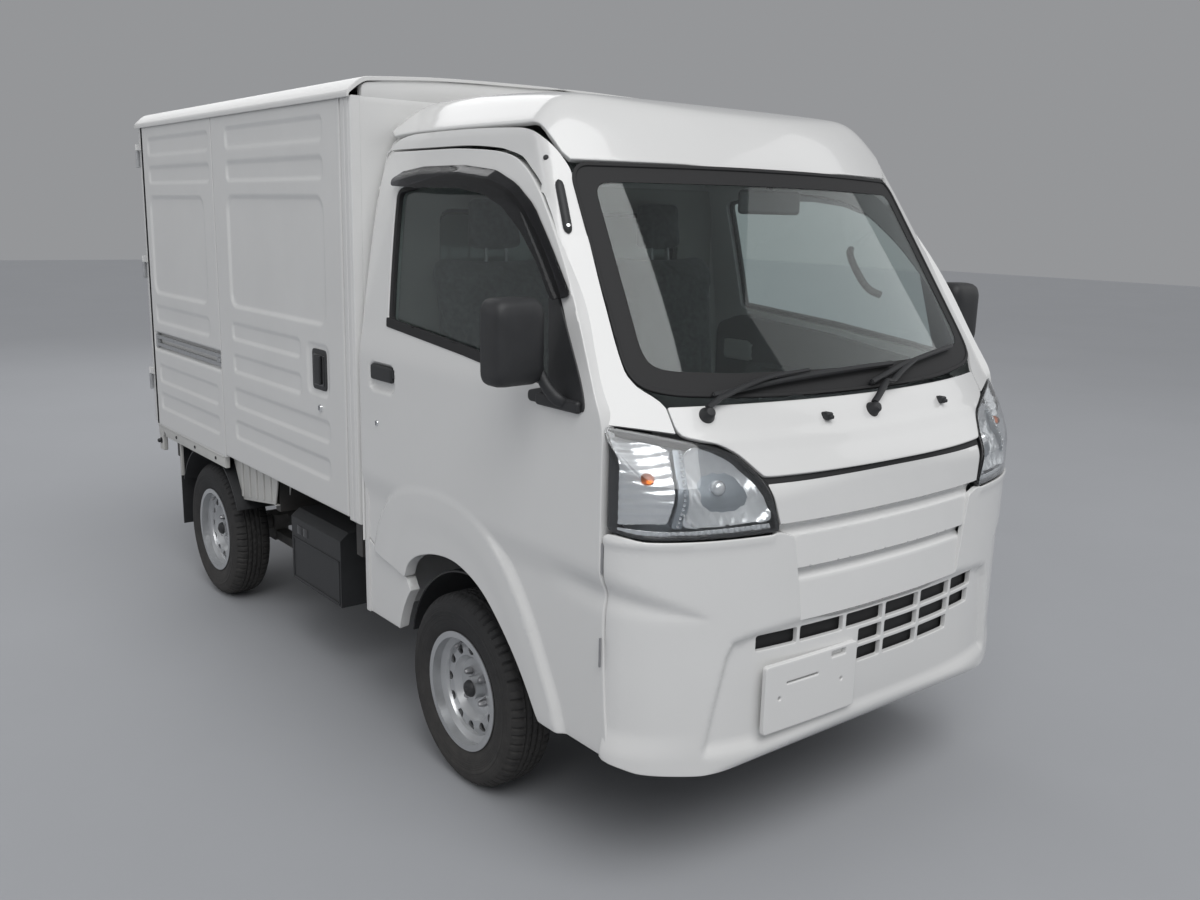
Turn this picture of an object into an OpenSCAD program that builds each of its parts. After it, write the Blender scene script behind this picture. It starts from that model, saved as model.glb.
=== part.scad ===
// Box-bodied light truck with a high-roof cab over the front wheels.
// Millimetres. +Z up, the truck faces -Y, its left side is +X. Origin under the middle of the truck.

/* [Overall] */
// Length over the rear door hinges and the front bumper
length = 3395; // [3200:5:3600]
// Width over the cab sides
body_w = 1475; // [1440:5:1520]
// Distance between the axles
wheelbase = 1900; // [1850:5:1950]
// Front bumper face to the front axle
front_overhang = 850; // [820:5:880]
// Distance between the left and right tyre centres
track = 1305; // [1280:5:1320]

/* [Wheels] */
// Tyre outside radius
tyre_r = 268; // [258:1:274]
// Tyre section width
tyre_w = 145; // [135:1:150]
// Radius of the rim where the tyre sits
rim_r = 152; // [148:1:160]
// Number of round holes in the wheel disc
rim_holes = 12; // [8:1:14]
// Radius of each round hole in the wheel disc
rim_hole_r = 13; // [9:0.5:15]

/* [Cab] */
// Rear face of the cab
cab_back = -312.5; // [-320:0.5:-305]
// Thickness of the cab doors
door_t = 45; // [35:1:48]
// Thickness of the cab walls
wall_t = 32; // [25:1:40]
// Thickness of the outer front panels
skin_t = 6; // [3:0.5:10]
// Gap between a door and the cab
door_gap = 6; // [5:0.5:8]
// Height of the seam under the high roof
roof_seam = 1774; // [1765:1:1785]
// Height of the seat deck above the engine
deck_z = 700; // [680:5:710]

/* [Cargo box] */
// Front face of the cargo box
box_front = -299.5; // [-301:0.5:-280]
// Underside of the cargo box
box_base = 611; // [600:1:620]
// Top of the cargo box walls
box_top = 1864; // [1800:1:1900]
// Thickness of the cargo box walls and side doors
box_t = 30; // [20:1:35]
// Rear edge of the sliding side doors
side_split = 818; // [780:1:860]
// Height of the middle of the box roof above its walls
roof_rise = 80; // [60:1:95]
// Thickness of the rear doors
rear_door_t = 28; // [20:1:32]

/* [Steering] */
// Distance of each steering axis from the middle
kingpin_x = 575; // [565:1:580]
// Length of the steering arms
steer_arm = 95; // [85:1:100]
// Radius of the steering wheel
wheel_rim_r = 185; // [170:1:190]

/* [Hidden] */
$fn = 96;
half = body_w / 2;
front_y = -length / 2;
rear_y = length / 2;
axle_f = front_y + front_overhang;
axle_r = axle_f + wheelbase;
axle_z = tyre_r;
seam_y = -1466;
hinge_x = half - 5.5;
hinge_y = seam_y - 2.8;
frame_y = 1625;
post_y = -232;
rear_hinge_x = half + 3.5;
rear_hinge_r = 7.5;
rear_hinge_y = rear_y - rear_hinge_r;
rear_skin_y = rear_y - 9.5;
column_x = -330;
column_y = -1085;
column_z = 1020;
column_tilt = 36.87;
engine_x = 215;
plate_x = -262;
plate_z = 466;
beam_y = -1592;
seat_z = deck_z + 10.3;
screen_r = 2112;
screen_tilt = 33.77;
hood_r = 3500;
hood_tilt = 50.5;
hub_x = track / 2 - 20.3;
rack_z = 286;
rack_r = 14;
rail_x = 250;
rail_w = 60;
rail_z = 340;
rail_h = 72;
bed_z = rail_z + rail_h + 61;

// Cab seen from the side: y, z, inward y, inward z
cab_side = [
  [-1640, 305, 1, 1], [-1688, 372, 1, 0.4], [front_y, 560, 1, 0], [front_y, 650, 1, 0],
  [-1692, 1000, 1, 0], [-1680, 1066, 0.8, -0.6], [-1600, 1132, 0.6, -0.8], [-1588, 1148, 1, -0.5],
  [-1235, 1676, 0.9, -0.5], [-1196, 1748, 0.8, -0.6], [-1120, 1818, 0.3, -1], [-890, 1860, 0, -1],
  [-500, 1884, 0, -1], [-385, 1880, -0.4, -1], [-345, 1856, -1, -0.8], [cab_back, 1780, -1, 0],
  [cab_back, 345, -1, 1], [-1466, 345, 0, 1],
];
// Cab seen from the front, one side: x, z, inward x, inward z
cab_section = [
  [half - 10, 300, -1, 0], [half, 360, -1, 0], [half, 1115, -1, 0], [722, 1236, -1, 0],
  [696, 1418, -1, 0], [660, 1617, -1, 0], [640, 1690, -1, 0], [628, 1750, -1, -0.4],
  [585, 1800, -0.8, -0.6], [520, 1848, -0.5, -1], [440, 1872, -0.2, -1], [250, 1884, 0, -1],
  [60, 1888, 0, -1],
];
// Cab seen from above, one side: x, y, inward x, inward y
cab_plan = [
  [50, front_y, 0, 1], [200, -1689, 0, 1], [380, -1671, -0.2, 1], [480, -1652, -0.3, 1],
  [560, -1629, -0.5, 1], [625, -1600, -0.7, 0.9], [670, -1572, -0.8, 0.8], [705, -1535, -0.9, 0.5],
  [728, -1495, -1, 0.3], [half, -1455, -1, 0.1], [half, cab_back + 20, -1, 0],
];
// Door outline seen from the side: y, z, outward y, outward z
door_edge = [
  [-325, 570, 1, -1], [-325, 1690, 1, 0.5], [-350, 1712, 0.5, 1], [-710, 1712, 0, 1],
  [-911, 1701, 0, 1], [-1008, 1679, -0.4, 1], [-1112, 1613, -0.7, 0.8], [-1226, 1488, -0.8, 0.6],
  [-1314, 1368, -0.9, 0.5], [-1398, 1221, -0.9, 0.4], [seam_y, 1115, -1, 0.4], [seam_y, 655, -1, 0],
  [-1476, 485, -1, 0], [-1493, 340, -1, -1], [-1242, 340, 0, -1], [-1163, 447, 0.7, -0.7],
  [-1073, 536, 0.6, -0.8], [-980, 609, 0.4, -1], [-857, 647, 0, -1], [-745, 638, -0.2, -1],
  [-641, 604, -0.5, -1], [-594, 566, -0.7, -0.8], [-576, 523, 0, -1],
];
// Door window opening seen from the side: y, z, inward y, inward z
window_edge = [
  [-429, 1609, -1, -1], [-475, 1240, -1, 1], [-880, 1208, 0, 1], [-1345, 1160, 0.8, 0.6],
  [-1240, 1382, 0.9, -0.4], [-1154, 1491, 0.8, -0.6], [-1025, 1593, 0.5, -0.9], [-915, 1629, 0, -1],
  [-685, 1651, 0, -1],
];
// Windscreen outline seen from the front, one side: x, z, inward x, inward z
screen_edge = [
  [150, 1152, 0, 1], [380, 1156, 0, 1], [560, 1166, -0.3, 1], [622, 1184, -1, 1],
  [641, 1220, -1, 0.3], [596, 1640, -1, -0.2], [570, 1668, -0.6, -1], [150, 1672, 0, -1],
];
// Headlamp outline seen from the front: x, z, inward x, inward z
lamp_edge = [
  [382, 866, 1, 1], [424, 996, 1, -0.4], [462, 1040, 0.6, -1], [505, 1060, 0.2, -1],
  [581, 1078, 0, -1], [660, 1096, 0, -1], [760, 1116, 0, -1], [760, 878, 0, 1],
  [690, 868, 0, 1],
];
// Heights of the cab door hinge pins: z
door_pin_z = [560, 780];
// Heights of the rear door hinges: z
rear_hinges = [760, 1240, 1700];
// Box roof seen from the front, one side: x, z
roof_edge = [
  [half + 9, box_top], [half + 9, box_top + 6], [half - 9, box_top + 29], [half - 44, box_top + 54],
  [445, box_top + roof_rise - 8], [70, box_top + roof_rise],
];
// Four wheels: side, axle y
wheel_spots = [[1, axle_f], [-1, axle_f], [1, axle_r], [-1, axle_r]];
// Lower grille cells: x low, x high, z low, z high
grille_cells = [
  [-425, -303, 584, 622], [-293, -150, 584, 622], [-138, 0, 584, 622], [12, 150, 584, 622],
  [162, 300, 584, 622], [312, 425, 584, 622], [12, 150, 536, 574], [162, 300, 536, 574],
  [312, 415, 536, 574], [-90, 0, 536, 574], [12, 150, 488, 526], [162, 300, 488, 526],
  [-90, 0, 488, 526],
];
// Frame cross members: y, z low, height
cross_rows = [[-1530, 345, 62], [-1180, 345, 62], [60, 345, 62], [430, 345, 62],
  [830, 345, 62], [1270, 345, 62], [1560, 345, 62]];
// Arms that carry the battery box: y
battery_arms = [0, 250, 390];
// Towing eyes under the rails: y
tow_eyes = [-1500, 1500];
// Box bearers across the frame: y
bearers = [-180, 470, 690, 1420, 1560];

white = [0.9, 0.9, 0.89];
black = [0.05, 0.05, 0.055];
grey = [0.35, 0.36, 0.37];
steel = [0.62, 0.63, 0.65];
tint = [0.35, 0.42, 0.42, 0.4];

function shifted(rows, t) = [for (p = rows) [p[0] + t * p[2], p[1] + t * p[3]]];
function mirrored(pts) = concat(pts, [for (i = [len(pts) - 1:-1:0]) if (pts[i][0] > 0.01)
  [-pts[i][0], pts[i][1]]]);

// Prism of a (y, z) outline from x0 to x1
module side_prism(pts, x0, x1)
  translate([x0, 0, 0]) rotate([90, 0, 90]) linear_extrude(x1 - x0) polygon(pts);
// Prism of an (x, z) outline from y0 to y1
module front_prism(pts, y0, y1)
  translate([0, y1, 0]) rotate([90, 0, 0]) linear_extrude(y1 - y0) polygon(pts);
module block(low, high) translate(low) cube(high - low);
module both() { children(); mirror([1, 0, 0]) children(); }
module on_side(s) if (s > 0) children(); else mirror([1, 0, 0]) children();
module x_rod(x0, x1, y, z, r) translate([x0, y, z]) rotate([0, 90, 0]) cylinder(r = r, h = x1 - x0);

// Curved front of the cab above a tilted line through (y, z), set in by t
module barrel(r, tilt, y, z, t)
  translate([0, y + r * cos(tilt), z - r * sin(tilt)]) rotate([-tilt, 0, 0])
    translate([0, 0, -3200]) cylinder(r = r - t, h = 6400, $fn = 360);

// The whole cab as a solid, set in by t
module cab_solid(t) {
  plan = mirrored(shifted(cab_plan, t));
  intersection() {
    side_prism(shifted(cab_side, t), -half, half);
    front_prism(mirrored(shifted(cab_section, t)), front_y - 1, cab_back + 1);
    translate([0, 0, 250]) linear_extrude(1700) polygon(plan);
    barrel(screen_r, screen_tilt, -1588, 1148, t);
    union() {
      barrel(hood_r, hood_tilt, -1680, 1066, t);
      block([-half, front_y, 1142], [half, 0, 1950]);
    }
  }
}
module cab_layer(t0, t1) difference() { cab_solid(t0); cab_solid(t1); }

// Space inside the cab sides, t in from the outside
module cab_core(t) front_prism(mirrored(concat([[half - t, 200]], shifted(cab_section, t))),
  front_y - 10, 0);
module door_openings(g) difference() {
  both() side_prism(shifted(door_edge, g), 480, half + 5);
  cab_core(door_t + g);
}

module cab_shell() color(white) {
  below = [[-760, 1120], [-660, 1099], [-586, 1083], [-586, 1152], [586, 1152], [586, 1083],
    [660, 1099], [760, 1120], [760, 290], [-760, 290]];
  difference() {
    cab_layer(0, wall_t);
    door_openings(door_gap);
    front_prism(below, front_y - 5, -1400);
    front_prism(mirrored(shifted(screen_edge, 0)), front_y, -1010);
    block([-480, cab_back - 60, 1180], [480, cab_back + 10, 1560]);
    block([-half, front_y, roof_seam], [half, 0, 1950]);
    block([-half + door_t, front_y, 200], [half - door_t, cab_back + 10, 600]);
    block([-half, front_y, 200], [half, -560, 420]);
    both() x_rod(400, 760, axle_f, axle_z, 336);
  }
}

module cab_roof() color(white) difference() {
  cab_layer(0, 18);
  block([-half, front_y, 200], [half, 0, roof_seam]);
}

module cab_floor() color(grey) {
  base = [[-1500, 868], [-1500, 424], [-1150, 424], [-1150, deck_z], [cab_back - wall_t, deck_z],
    [cab_back - wall_t, deck_z + 10], [-1160, deck_z + 10], [-1160, 434], [-1490, 434],
    [-1490, 868]];
  side_prism(base, -640, 640);
}

module cab_glass() color(tint) {
  intersection() {
    cab_layer(4, 10);
    front_prism(mirrored(shifted(screen_edge, 0.3)), front_y, -1010);
  }
  block([-479.7, cab_back - 20, 1180.3], [479.7, cab_back - 14, 1559.7]);
}

module hood() color(white) {
  edge = [[419, 995], [460, 1045], [503, 1065], [579, 1083], [579, 1140]];
  intersection() {
    cab_layer(0, skin_t);
    front_prism(mirrored(edge), front_y - 5, -1450);
  }
}

module grille_panel() color(white) {
  edge = [[180, 616], [314, 632], [332, 746], [350, 848], [379, 868], [412, 985], [412, 1003]];
  difference() {
    intersection() {
      cab_layer(skin_t + 0.7, skin_t + 12);
      front_prism(mirrored(edge), front_y - 5, -1560);
    }
    block([-300, front_y, 745], [300, -1680, 760]);
    block([-320, front_y, 855], [320, -1678, 870]);
  }
}

module front_bumper() color(white) {
  edge = [[760, 300], [760, 877.7], [690, 867.7], [378, 865.7], [340, 854], [321, 753],
    [304, 640], [180, 626]];
  difference() {
    union() {
      intersection() {
        cab_layer(0, skin_t);
        front_prism(mirrored(edge), front_y - 5, seam_y - 3);
      }
      block([plate_x - 160, -1695, 386], [plate_x + 160, -1682, 546]);
      both() block([330, -1672, 440], [390, beam_y, 490]);
    }
    block([-640, -1610, 290], [640, -1400, 420]);
    for (c = grille_cells) block([c[0], front_y - 5, c[2]], [c[1], -1600, c[3]]);
    side_prism(shifted(door_edge, door_gap), -half - 5, half + 5);
    for (s = [-1, 1]) translate([plate_x + s * 105, -1600, plate_z]) rotate([90, 0, 0])
      cylinder(r = 3.5, h = 120);
    block([plate_x + 80, front_y - 5, 520], [plate_x + 135, -1650, 537]);
  }
}

module lamps() color([0.8, 0.84, 0.86, 0.6]) {
  both() difference() {
    intersection() {
      cab_layer(1, 40);
      front_prism(shifted(lamp_edge, 0), front_y - 5, seam_y - 8);
    }
    side_prism(shifted(door_edge, door_gap), 480, half + 5);
  }
  both() block([455, 1580, 492], [645, 1650, 582]);
}

module cab_door() difference() {
  intersection() {
    difference() {
      cab_solid(0);
      cab_core(door_t);
    }
    side_prism([for (p = door_edge) [p[0], p[1]]], 480, half + 5);
  }
  side_prism([for (p = window_edge) [p[0], p[1]]], 480, half + 5);
}
module door_pins() for (z = door_pin_z) translate([hinge_x, hinge_y, z]) cylinder(r = 3, h = 70);
module door_glass() intersection() {
  difference() {
    cab_solid(14);
    cab_core(18);
  }
  side_prism(shifted(window_edge, 2), 480, half + 5);
}
module door_left() color(white) { cab_door(); door_pins(); }
module door_right() color(white) mirror([1, 0, 0]) { cab_door(); door_pins(); }
module door_glass_left() color(tint) door_glass();
module door_glass_right() color(tint) mirror([1, 0, 0]) door_glass();

module door_mirror() {
  block([half + 4.5, -1335, 1180], [half + 142.5, -1262, 1375]);
  x_rod(half - 11.6, half + 5.5, -1310, 1215, 12);
}
module mirror_left() color(black) door_mirror();
module mirror_right() color(black) mirror([1, 0, 0]) door_mirror();

module dashboard() color(grey) {
  face = [[-1500, 868], [-1500, 1000], [-1440, 1092], [-1400, 1112], [-1290, 1100], [-1262, 1060],
    [-1275, 930], [-1330, 868]];
  difference() {
    side_prism(face, -585, 585);
    block([120, -1400, 900], [520, -1200, 1000]);
  }
  translate([column_x, column_y, column_z]) rotate([-column_tilt, 0, 0])
    translate([0, 0, -230]) cylinder(r = 32, h = 199.7);
  block([column_x - 28, -1300, 900], [column_x + 28, -1170, 930]);
}

module steering_wheel() color(black)
  translate([column_x, column_y, column_z]) rotate([-column_tilt, 0, 0]) {
    rotate_extrude() translate([wheel_rim_r, 0]) circle(r = 14);
    translate([0, 0, -30]) cylinder(r = 62, h = 40);
    for (a = [0, 180, 270]) rotate([0, 0, a]) translate([30, -14, -20]) cube([150, 28, 16]);
  }

module seats() color(grey) both() {
  back = [[-560, seat_z + 122.3], [-430, seat_z + 122.3], [-362, 1380], [-372, 1600], [-440, 1605],
    [-455, 1440], [-490, 1380]];
  block([96, -960, seat_z], [560, -430, seat_z + 122]);
  difference() {
    side_prism(back, 110, 546);
    for (x = [[100, 235], [421, 550]]) block([x[0], -600, 1420], [x[1], -300, 1700]);
  }
}

module chassis_frame() color(black) {
  both() block([rail_x, -1560, rail_z], [rail_x + rail_w, 1600, rail_z + rail_h]);
  both() for (y = tow_eyes) difference() {
    union() {
      x_rod(rail_x + 14, rail_x + 30, y, rail_z - 30, 27);
      block([rail_x + 14, y - 27, rail_z - 30], [rail_x + 30, y + 27, rail_z + 1]);
    }
    x_rod(rail_x, rail_x + 50, y, rail_z - 30, 14);
  }
}
module cross_members() color(black) {
  for (c = cross_rows) block([-rail_x, c[0] - 25, c[1]], [rail_x, c[0] + 25, c[1] + c[2]]);
  block([-560, 1600, rail_z + rail_h - 6], [560, 1650, 470]);
  block([-400, beam_y, rail_z], [400, -1560, rail_z + 150]);
  both() for (y = [-620, -480]) block([engine_x, y, 380], [rail_x, y + 40, 400]);
  for (b = battery_arms) block([-440, b - 15, 380], [-rail_x - rail_w, b + 15, 410]);
}
module bed_rails() color(black)
  both() block([rail_x, -240, rail_z + rail_h], [rail_x + rail_w, 1600, bed_z]);
module box_bearers() color(black)
  for (y = bearers) block([-680, y - 20, bed_z], [680, y + 20, box_base]);

module engine() color([0.4, 0.4, 0.41]) {
  block([-engine_x, -745, 300], [engine_x, -352, 660]);
  block([-110, -353, 300], [110, 20, 440]);
}

module exhaust() color(steel) {
  translate([-160, -360, 262]) cylinder(r = 20, h = 38);
  translate([-160, -360, 262]) rotate([-90, 0, 0]) cylinder(r = 20, h = 1160);
  translate([-160, 300, 262]) rotate([-90, 0, 0]) cylinder(r = 62, h = 330);
  x_rod(-400, -150, 800, 262, 20);
}

module fuel_tank() color(grey) block([rail_x + rail_w, -40, 275], [690, 445, 470]);

module battery_box() color(black) {
  lid = [[-690, 262], [-690, 490], [-660, 515], [-440, 515], [-440, 262]];
  front_prism(lid, -60, 330);
  block([-640, 345, 300], [-440, 430, 440]);
}

module front_suspension() color(black) {
  both() block([rail_x, axle_f - steer_arm - 30, rack_z + 20], [310, axle_f - steer_arm + 30, rail_z]);
  difference() {
    x_rod(-310, 310, axle_f - steer_arm, rack_z, 27);
    x_rod(-320, 320, axle_f - steer_arm, rack_z, rack_r + 0.3);
  }
  both() {
    block([280, axle_f - 24, 205], [kingpin_x - 14, axle_f + 24, 225]);
    block([280, axle_f - 24, 205], [310, axle_f + 24, rail_z]);
    translate([kingpin_x - 50, axle_f, 224]) cylinder(r = 24, h = deck_z - 244);
    translate([kingpin_x - 50, axle_f, deck_z - 20]) cylinder(r = 45, h = 20);
    translate([kingpin_x, axle_f, 205]) cylinder(r = 12, h = 20);
    block([kingpin_x - 15, axle_f - 8, 207], [kingpin_x, axle_f + 8, 223]);
  }
}

module knuckle() {
  x_rod(kingpin_x + 14, kingpin_x + 28, axle_f, axle_z, 95);
  x_rod(kingpin_x + 27, 618, axle_f, axle_z, 45);
  x_rod(617, hub_x, axle_f, axle_z, 30);
  translate([kingpin_x, axle_f, 225.3]) cylinder(r = 12, h = 90);
  block([kingpin_x, axle_f - 12, 232], [kingpin_x + 15, axle_f + 12, 305]);
  block([kingpin_x - 8, axle_f - steer_arm, rack_z - 32], [kingpin_x + 6, axle_f, rack_z - 16]);
  translate([kingpin_x - 1, axle_f - steer_arm, rack_z - 32]) cylinder(r = 13, h = 16);
}
module knuckle_left() color(steel) knuckle();
module knuckle_right() color(steel) mirror([1, 0, 0]) knuckle();

module steering_rack() color(steel) {
  x_rod(-kingpin_x, kingpin_x, axle_f - steer_arm, rack_z, 9);
  x_rod(-400, 400, axle_f - steer_arm, rack_z, rack_r);
  both() translate([kingpin_x, axle_f - steer_arm, rack_z - 15]) cylinder(r = 13, h = 30);
}

module rear_axle() color(black) {
  x_rod(-600, 600, axle_r, axle_z, 33);
  x_rod(-88, 88, axle_r, axle_z, 100);
  both() {
    x_rod(600, 618, axle_r, axle_z, 105);
    x_rod(617, hub_x, axle_r, axle_z, 30);
  }
  translate([0, 30, 310]) rotate([-92.35, 0, 0]) cylinder(r = 30, h = 930);
  both() {
    for (k = [[0, 560, 226, 12], [1, 420, 214, 12], [2, 280, 202, 12]])
      block([430, axle_r - k[1], k[2]], [480, axle_r + k[1], k[2] + k[3]]);
    for (y = [-560, 560]) block([425, axle_r + y - 20, 214], [485, axle_r + y + 20, rail_z]);
    for (y = [-560, 528]) block([rail_x, axle_r + y - 20, rail_z - 20], [485, axle_r + y + 20, rail_z]);
    block([425, axle_r - 50, 196], [485, axle_r + 50, 300]);
  }
}

module tyre(s, y) {
  w = tyre_w / 2;
  r = tyre_r;
  bead_r = rim_r + 1.3;
  profile = [[bead_r, -w + 16], [rim_r + 16, -w + 13], [rim_r + 40, -w + 3], [rim_r + 75, -w],
    [r - 22, -w + 6],
    [r - 6, -w + 18], [r, -w + 34], [r, w - 34], [r - 6, w - 18], [r - 22, w - 6],
    [rim_r + 75, w], [rim_r + 40, w - 3], [rim_r + 16, w - 13], [bead_r, w - 16],
    [bead_r, w - 26], [rim_r + 40, w - 12], [r - 26, w - 14], [r - 26, -w + 14],
    [rim_r + 40, -w + 12], [bead_r, -w + 26]];
  translate([s * track / 2, y, axle_z]) rotate([0, 90, 0]) rotate_extrude() polygon(profile);
}
module rim(s, y) {
  w = tyre_w / 2;
  barrel = [[rim_r + 14, -w + 8], [rim_r + 14, -w + 11], [rim_r + 1, -w + 11],
    [rim_r + 1, -w + 34], [rim_r - 14, -w + 44], [rim_r - 14, w - 44], [rim_r + 1, w - 34],
    [rim_r + 1, w - 11], [rim_r + 14, w - 11], [rim_r + 14, w - 8], [rim_r - 3, w - 8],
    [rim_r - 3, w - 34], [rim_r - 20, w - 42], [128, 22], [112, 30], [92, 28], [78, 10],
    [30, 4], [30, -2], [80, 4], [96, 22], [110, 23], [126, 14], [rim_r - 20, 0],
    [rim_r - 20, -w + 42], [rim_r - 3, -w + 34], [rim_r - 3, -w + 8]];
  translate([s * track / 2, y, axle_z]) rotate([0, s * 90, 0]) difference() {
    union() {
      rotate_extrude() polygon(barrel);
      translate([0, 0, -20]) cylinder(r = 32, h = 52);
    }
    for (i = [0:rim_holes - 1]) rotate([0, 0, i * 360 / rim_holes]) translate([110, 0, -10])
      cylinder(r = rim_hole_r, h = 60);
    translate([0, 0, -21]) cylinder(r = 22, h = 30);
  }
}
module tyre_front_left() color(black) tyre(1, axle_f);
module tyre_front_right() color(black) tyre(-1, axle_f);
module tyre_rear_left() color(black) tyre(1, axle_r);
module tyre_rear_right() color(black) tyre(-1, axle_r);
module rim_front_left() color(steel) rim(1, axle_f);
module rim_front_right() color(steel) rim(-1, axle_f);
module rim_rear_left() color(steel) rim(1, axle_r);
module rim_rear_right() color(steel) rim(-1, axle_r);

module arch_liner(y, x0, x1, r, cut) difference() {
  x_rod(x0, x1, y, axle_z, r);
  x_rod(x0 - 1, x1 + 1, y, axle_z, r - 5);
  block([x0 - 1, y - r - 1, axle_z - r - 1], [x1 + 1, y + r + 1, axle_z + cut]);
}
module mudguards() color(black) both() {
  difference() {
    arch_liner(axle_f, rail_x + rail_w, 684, 328, 70);
    translate([kingpin_x - 50, axle_f, axle_z]) cylinder(r = 26, h = 500);
  }
  arch_liner(axle_r, 560, 730, box_base - axle_z - 0.3, 150);
  block([580, 1394, 215], [728, 1399.7, 560]);
}

module box_floor() color(grey) {
  block([-half + box_t, box_front + box_t, box_base], [half - box_t, frame_y, box_base + 49]);
}
module box_front_wall() color(white) {
  block([-half + box_t, box_front, box_base], [half - box_t, box_front + box_t, box_top]);
  both() block([half - box_t, box_front, box_base], [half, post_y, box_top]);
}
module box_roof() color(white) {
  inner = [[half - box_t, box_top - 1], [half - box_t, box_top + 35], [half - 60, box_top + 47],
    [445, box_top + roof_rise - 14], [70, box_top + roof_rise - 6]];
  difference() {
    front_prism(mirrored(roof_edge), box_front - 6, rear_y - 3);
    front_prism(mirrored(inner), box_front + box_t, frame_y);
  }
}
module rear_frame() color(white) {
  difference() {
    block([-half, frame_y, box_base], [half, frame_y + 25, box_top]);
    block([-half + 52, 1600, box_base + 60], [half - 52, 1700, box_top - 24]);
  }
  both() for (z = rear_hinges) {
    translate([rear_hinge_x, rear_hinge_y, z + 70.3]) cylinder(r = rear_hinge_r, h = 25);
    block([half - 3, frame_y + 24, z + 70.3], [rear_hinge_x + 4, rear_hinge_y, z + 95.3]);
  }
}
module side_panels() color(white) both() {
  block([half - box_t, side_split + 5, box_base], [half, frame_y, box_top]);
}
module side_doors() color(white) both() {
  block([half - box_t + 0.3, post_y + 5, box_base + 10], [half, side_split, box_top - 0.3]);
}
module rear_door() {
  block([3, rear_skin_y - rear_door_t, box_base + 9], [half - 4, rear_skin_y, box_top - 6]);
  for (z = rear_hinges) {
    translate([rear_hinge_x, rear_hinge_y, z]) cylinder(r = rear_hinge_r, h = 70);
    block([half - 60, rear_skin_y - 1, z], [rear_hinge_x, rear_skin_y + 4, z + 70]);
  }
}
module rear_door_left() color(white) rear_door();
module rear_door_right() color(white) mirror([1, 0, 0]) rear_door();

chassis_frame();
cross_members();
bed_rails();
box_bearers();
engine();
exhaust();
fuel_tank();
battery_box();
front_suspension();
rear_axle();
steering_rack();
knuckle_left();
knuckle_right();
rim_front_left();
rim_front_right();
rim_rear_left();
rim_rear_right();
tyre_front_left();
tyre_front_right();
tyre_rear_left();
tyre_rear_right();
cab_shell();
cab_floor();
cab_roof();
cab_glass();
hood();
grille_panel();
front_bumper();
lamps();
mudguards();
dashboard();
steering_wheel();
seats();
door_left();
door_right();
door_glass_left();
door_glass_right();
mirror_left();
mirror_right();
box_floor();
box_front_wall();
box_roof();
rear_frame();
side_panels();
side_doors();
rear_door_left();
rear_door_right();
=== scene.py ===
"""Light box truck with a high-roof cab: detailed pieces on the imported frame, in its own metres."""

import bmesh
import bpy
import numpy as np
from mathutils import Matrix, Vector
from mathutils.geometry import delaunay_2d_cdt


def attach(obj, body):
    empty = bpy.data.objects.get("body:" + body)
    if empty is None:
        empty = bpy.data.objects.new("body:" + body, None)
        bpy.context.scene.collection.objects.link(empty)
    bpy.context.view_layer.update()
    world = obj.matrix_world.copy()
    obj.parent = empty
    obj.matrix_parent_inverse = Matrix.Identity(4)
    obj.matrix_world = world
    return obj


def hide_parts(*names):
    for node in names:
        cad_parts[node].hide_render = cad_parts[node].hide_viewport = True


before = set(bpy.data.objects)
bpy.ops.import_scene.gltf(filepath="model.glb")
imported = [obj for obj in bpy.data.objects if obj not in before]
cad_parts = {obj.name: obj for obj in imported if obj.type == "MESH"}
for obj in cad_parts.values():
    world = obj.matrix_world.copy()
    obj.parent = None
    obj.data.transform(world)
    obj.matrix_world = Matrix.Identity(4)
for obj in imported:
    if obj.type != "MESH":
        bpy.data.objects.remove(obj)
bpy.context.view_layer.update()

# Sizes in millimetres, as the CAD has them
HALF = 737.5
FRONT = -1697.5
AXLE_F, AXLE_R, AXLE_Z = -847.5, 1052.5, 268.0
CAB_BACK = -312.5
BOX_FRONT = -299.5
SPLIT = 818.0
TRACK = 1305.0
PI = np.pi


# ---------------------------------------------------------------- curves and surfaces

def smooth(points):
    """A monotone cubic through (x, y) points: each span's slopes are the harmonic mean of its
    neighbours', and the ends hold their values."""
    p = np.array(points, float)
    x, y = p[np.argsort(p[:, 0])].T
    h = np.diff(x)
    d = np.diff(y) / h
    m = np.r_[d[0], np.zeros(len(h) - 1), d[-1]]
    w1, w2 = 2 * h[1:] + h[:-1], h[1:] + 2 * h[:-1]
    same = d[1:] * d[:-1] > 0
    a, b = np.where(same, d[:-1], 1), np.where(same, d[1:], 1)
    m[1:-1] = np.where(same, (w1 + w2) / (w1 / a + w2 / b), 0)

    def curve(q):
        q = np.clip(q, x[0], x[-1])
        i = np.clip(np.searchsorted(x, q) - 1, 0, len(h) - 1)
        t = (q - x[i]) / h[i]
        return (y[i] * (1 + 2 * t) * (1 - t) ** 2 + m[i] * h[i] * t * (1 - t) ** 2
                + y[i + 1] * t * t * (3 - 2 * t) + m[i + 1] * h[i] * t * t * (t - 1))
    return curve


def smax(a, b, k):
    """The larger of two values, with the crossing rounded over a width of k."""
    return np.maximum(a, b) + np.maximum(k - np.abs(a - b), 0) ** 2 / (4 * k)


def smin(a, b, k):
    """The smaller of two values, with the crossing rounded over a width of k."""
    return -smax(-a, -b, k)


def step(x, low, high):
    """0 below low, 1 above high, and a smooth cubic between them."""
    t = np.clip((x - low) / (high - low), 0, 1)
    return t * t * (3 - 2 * t)


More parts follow.
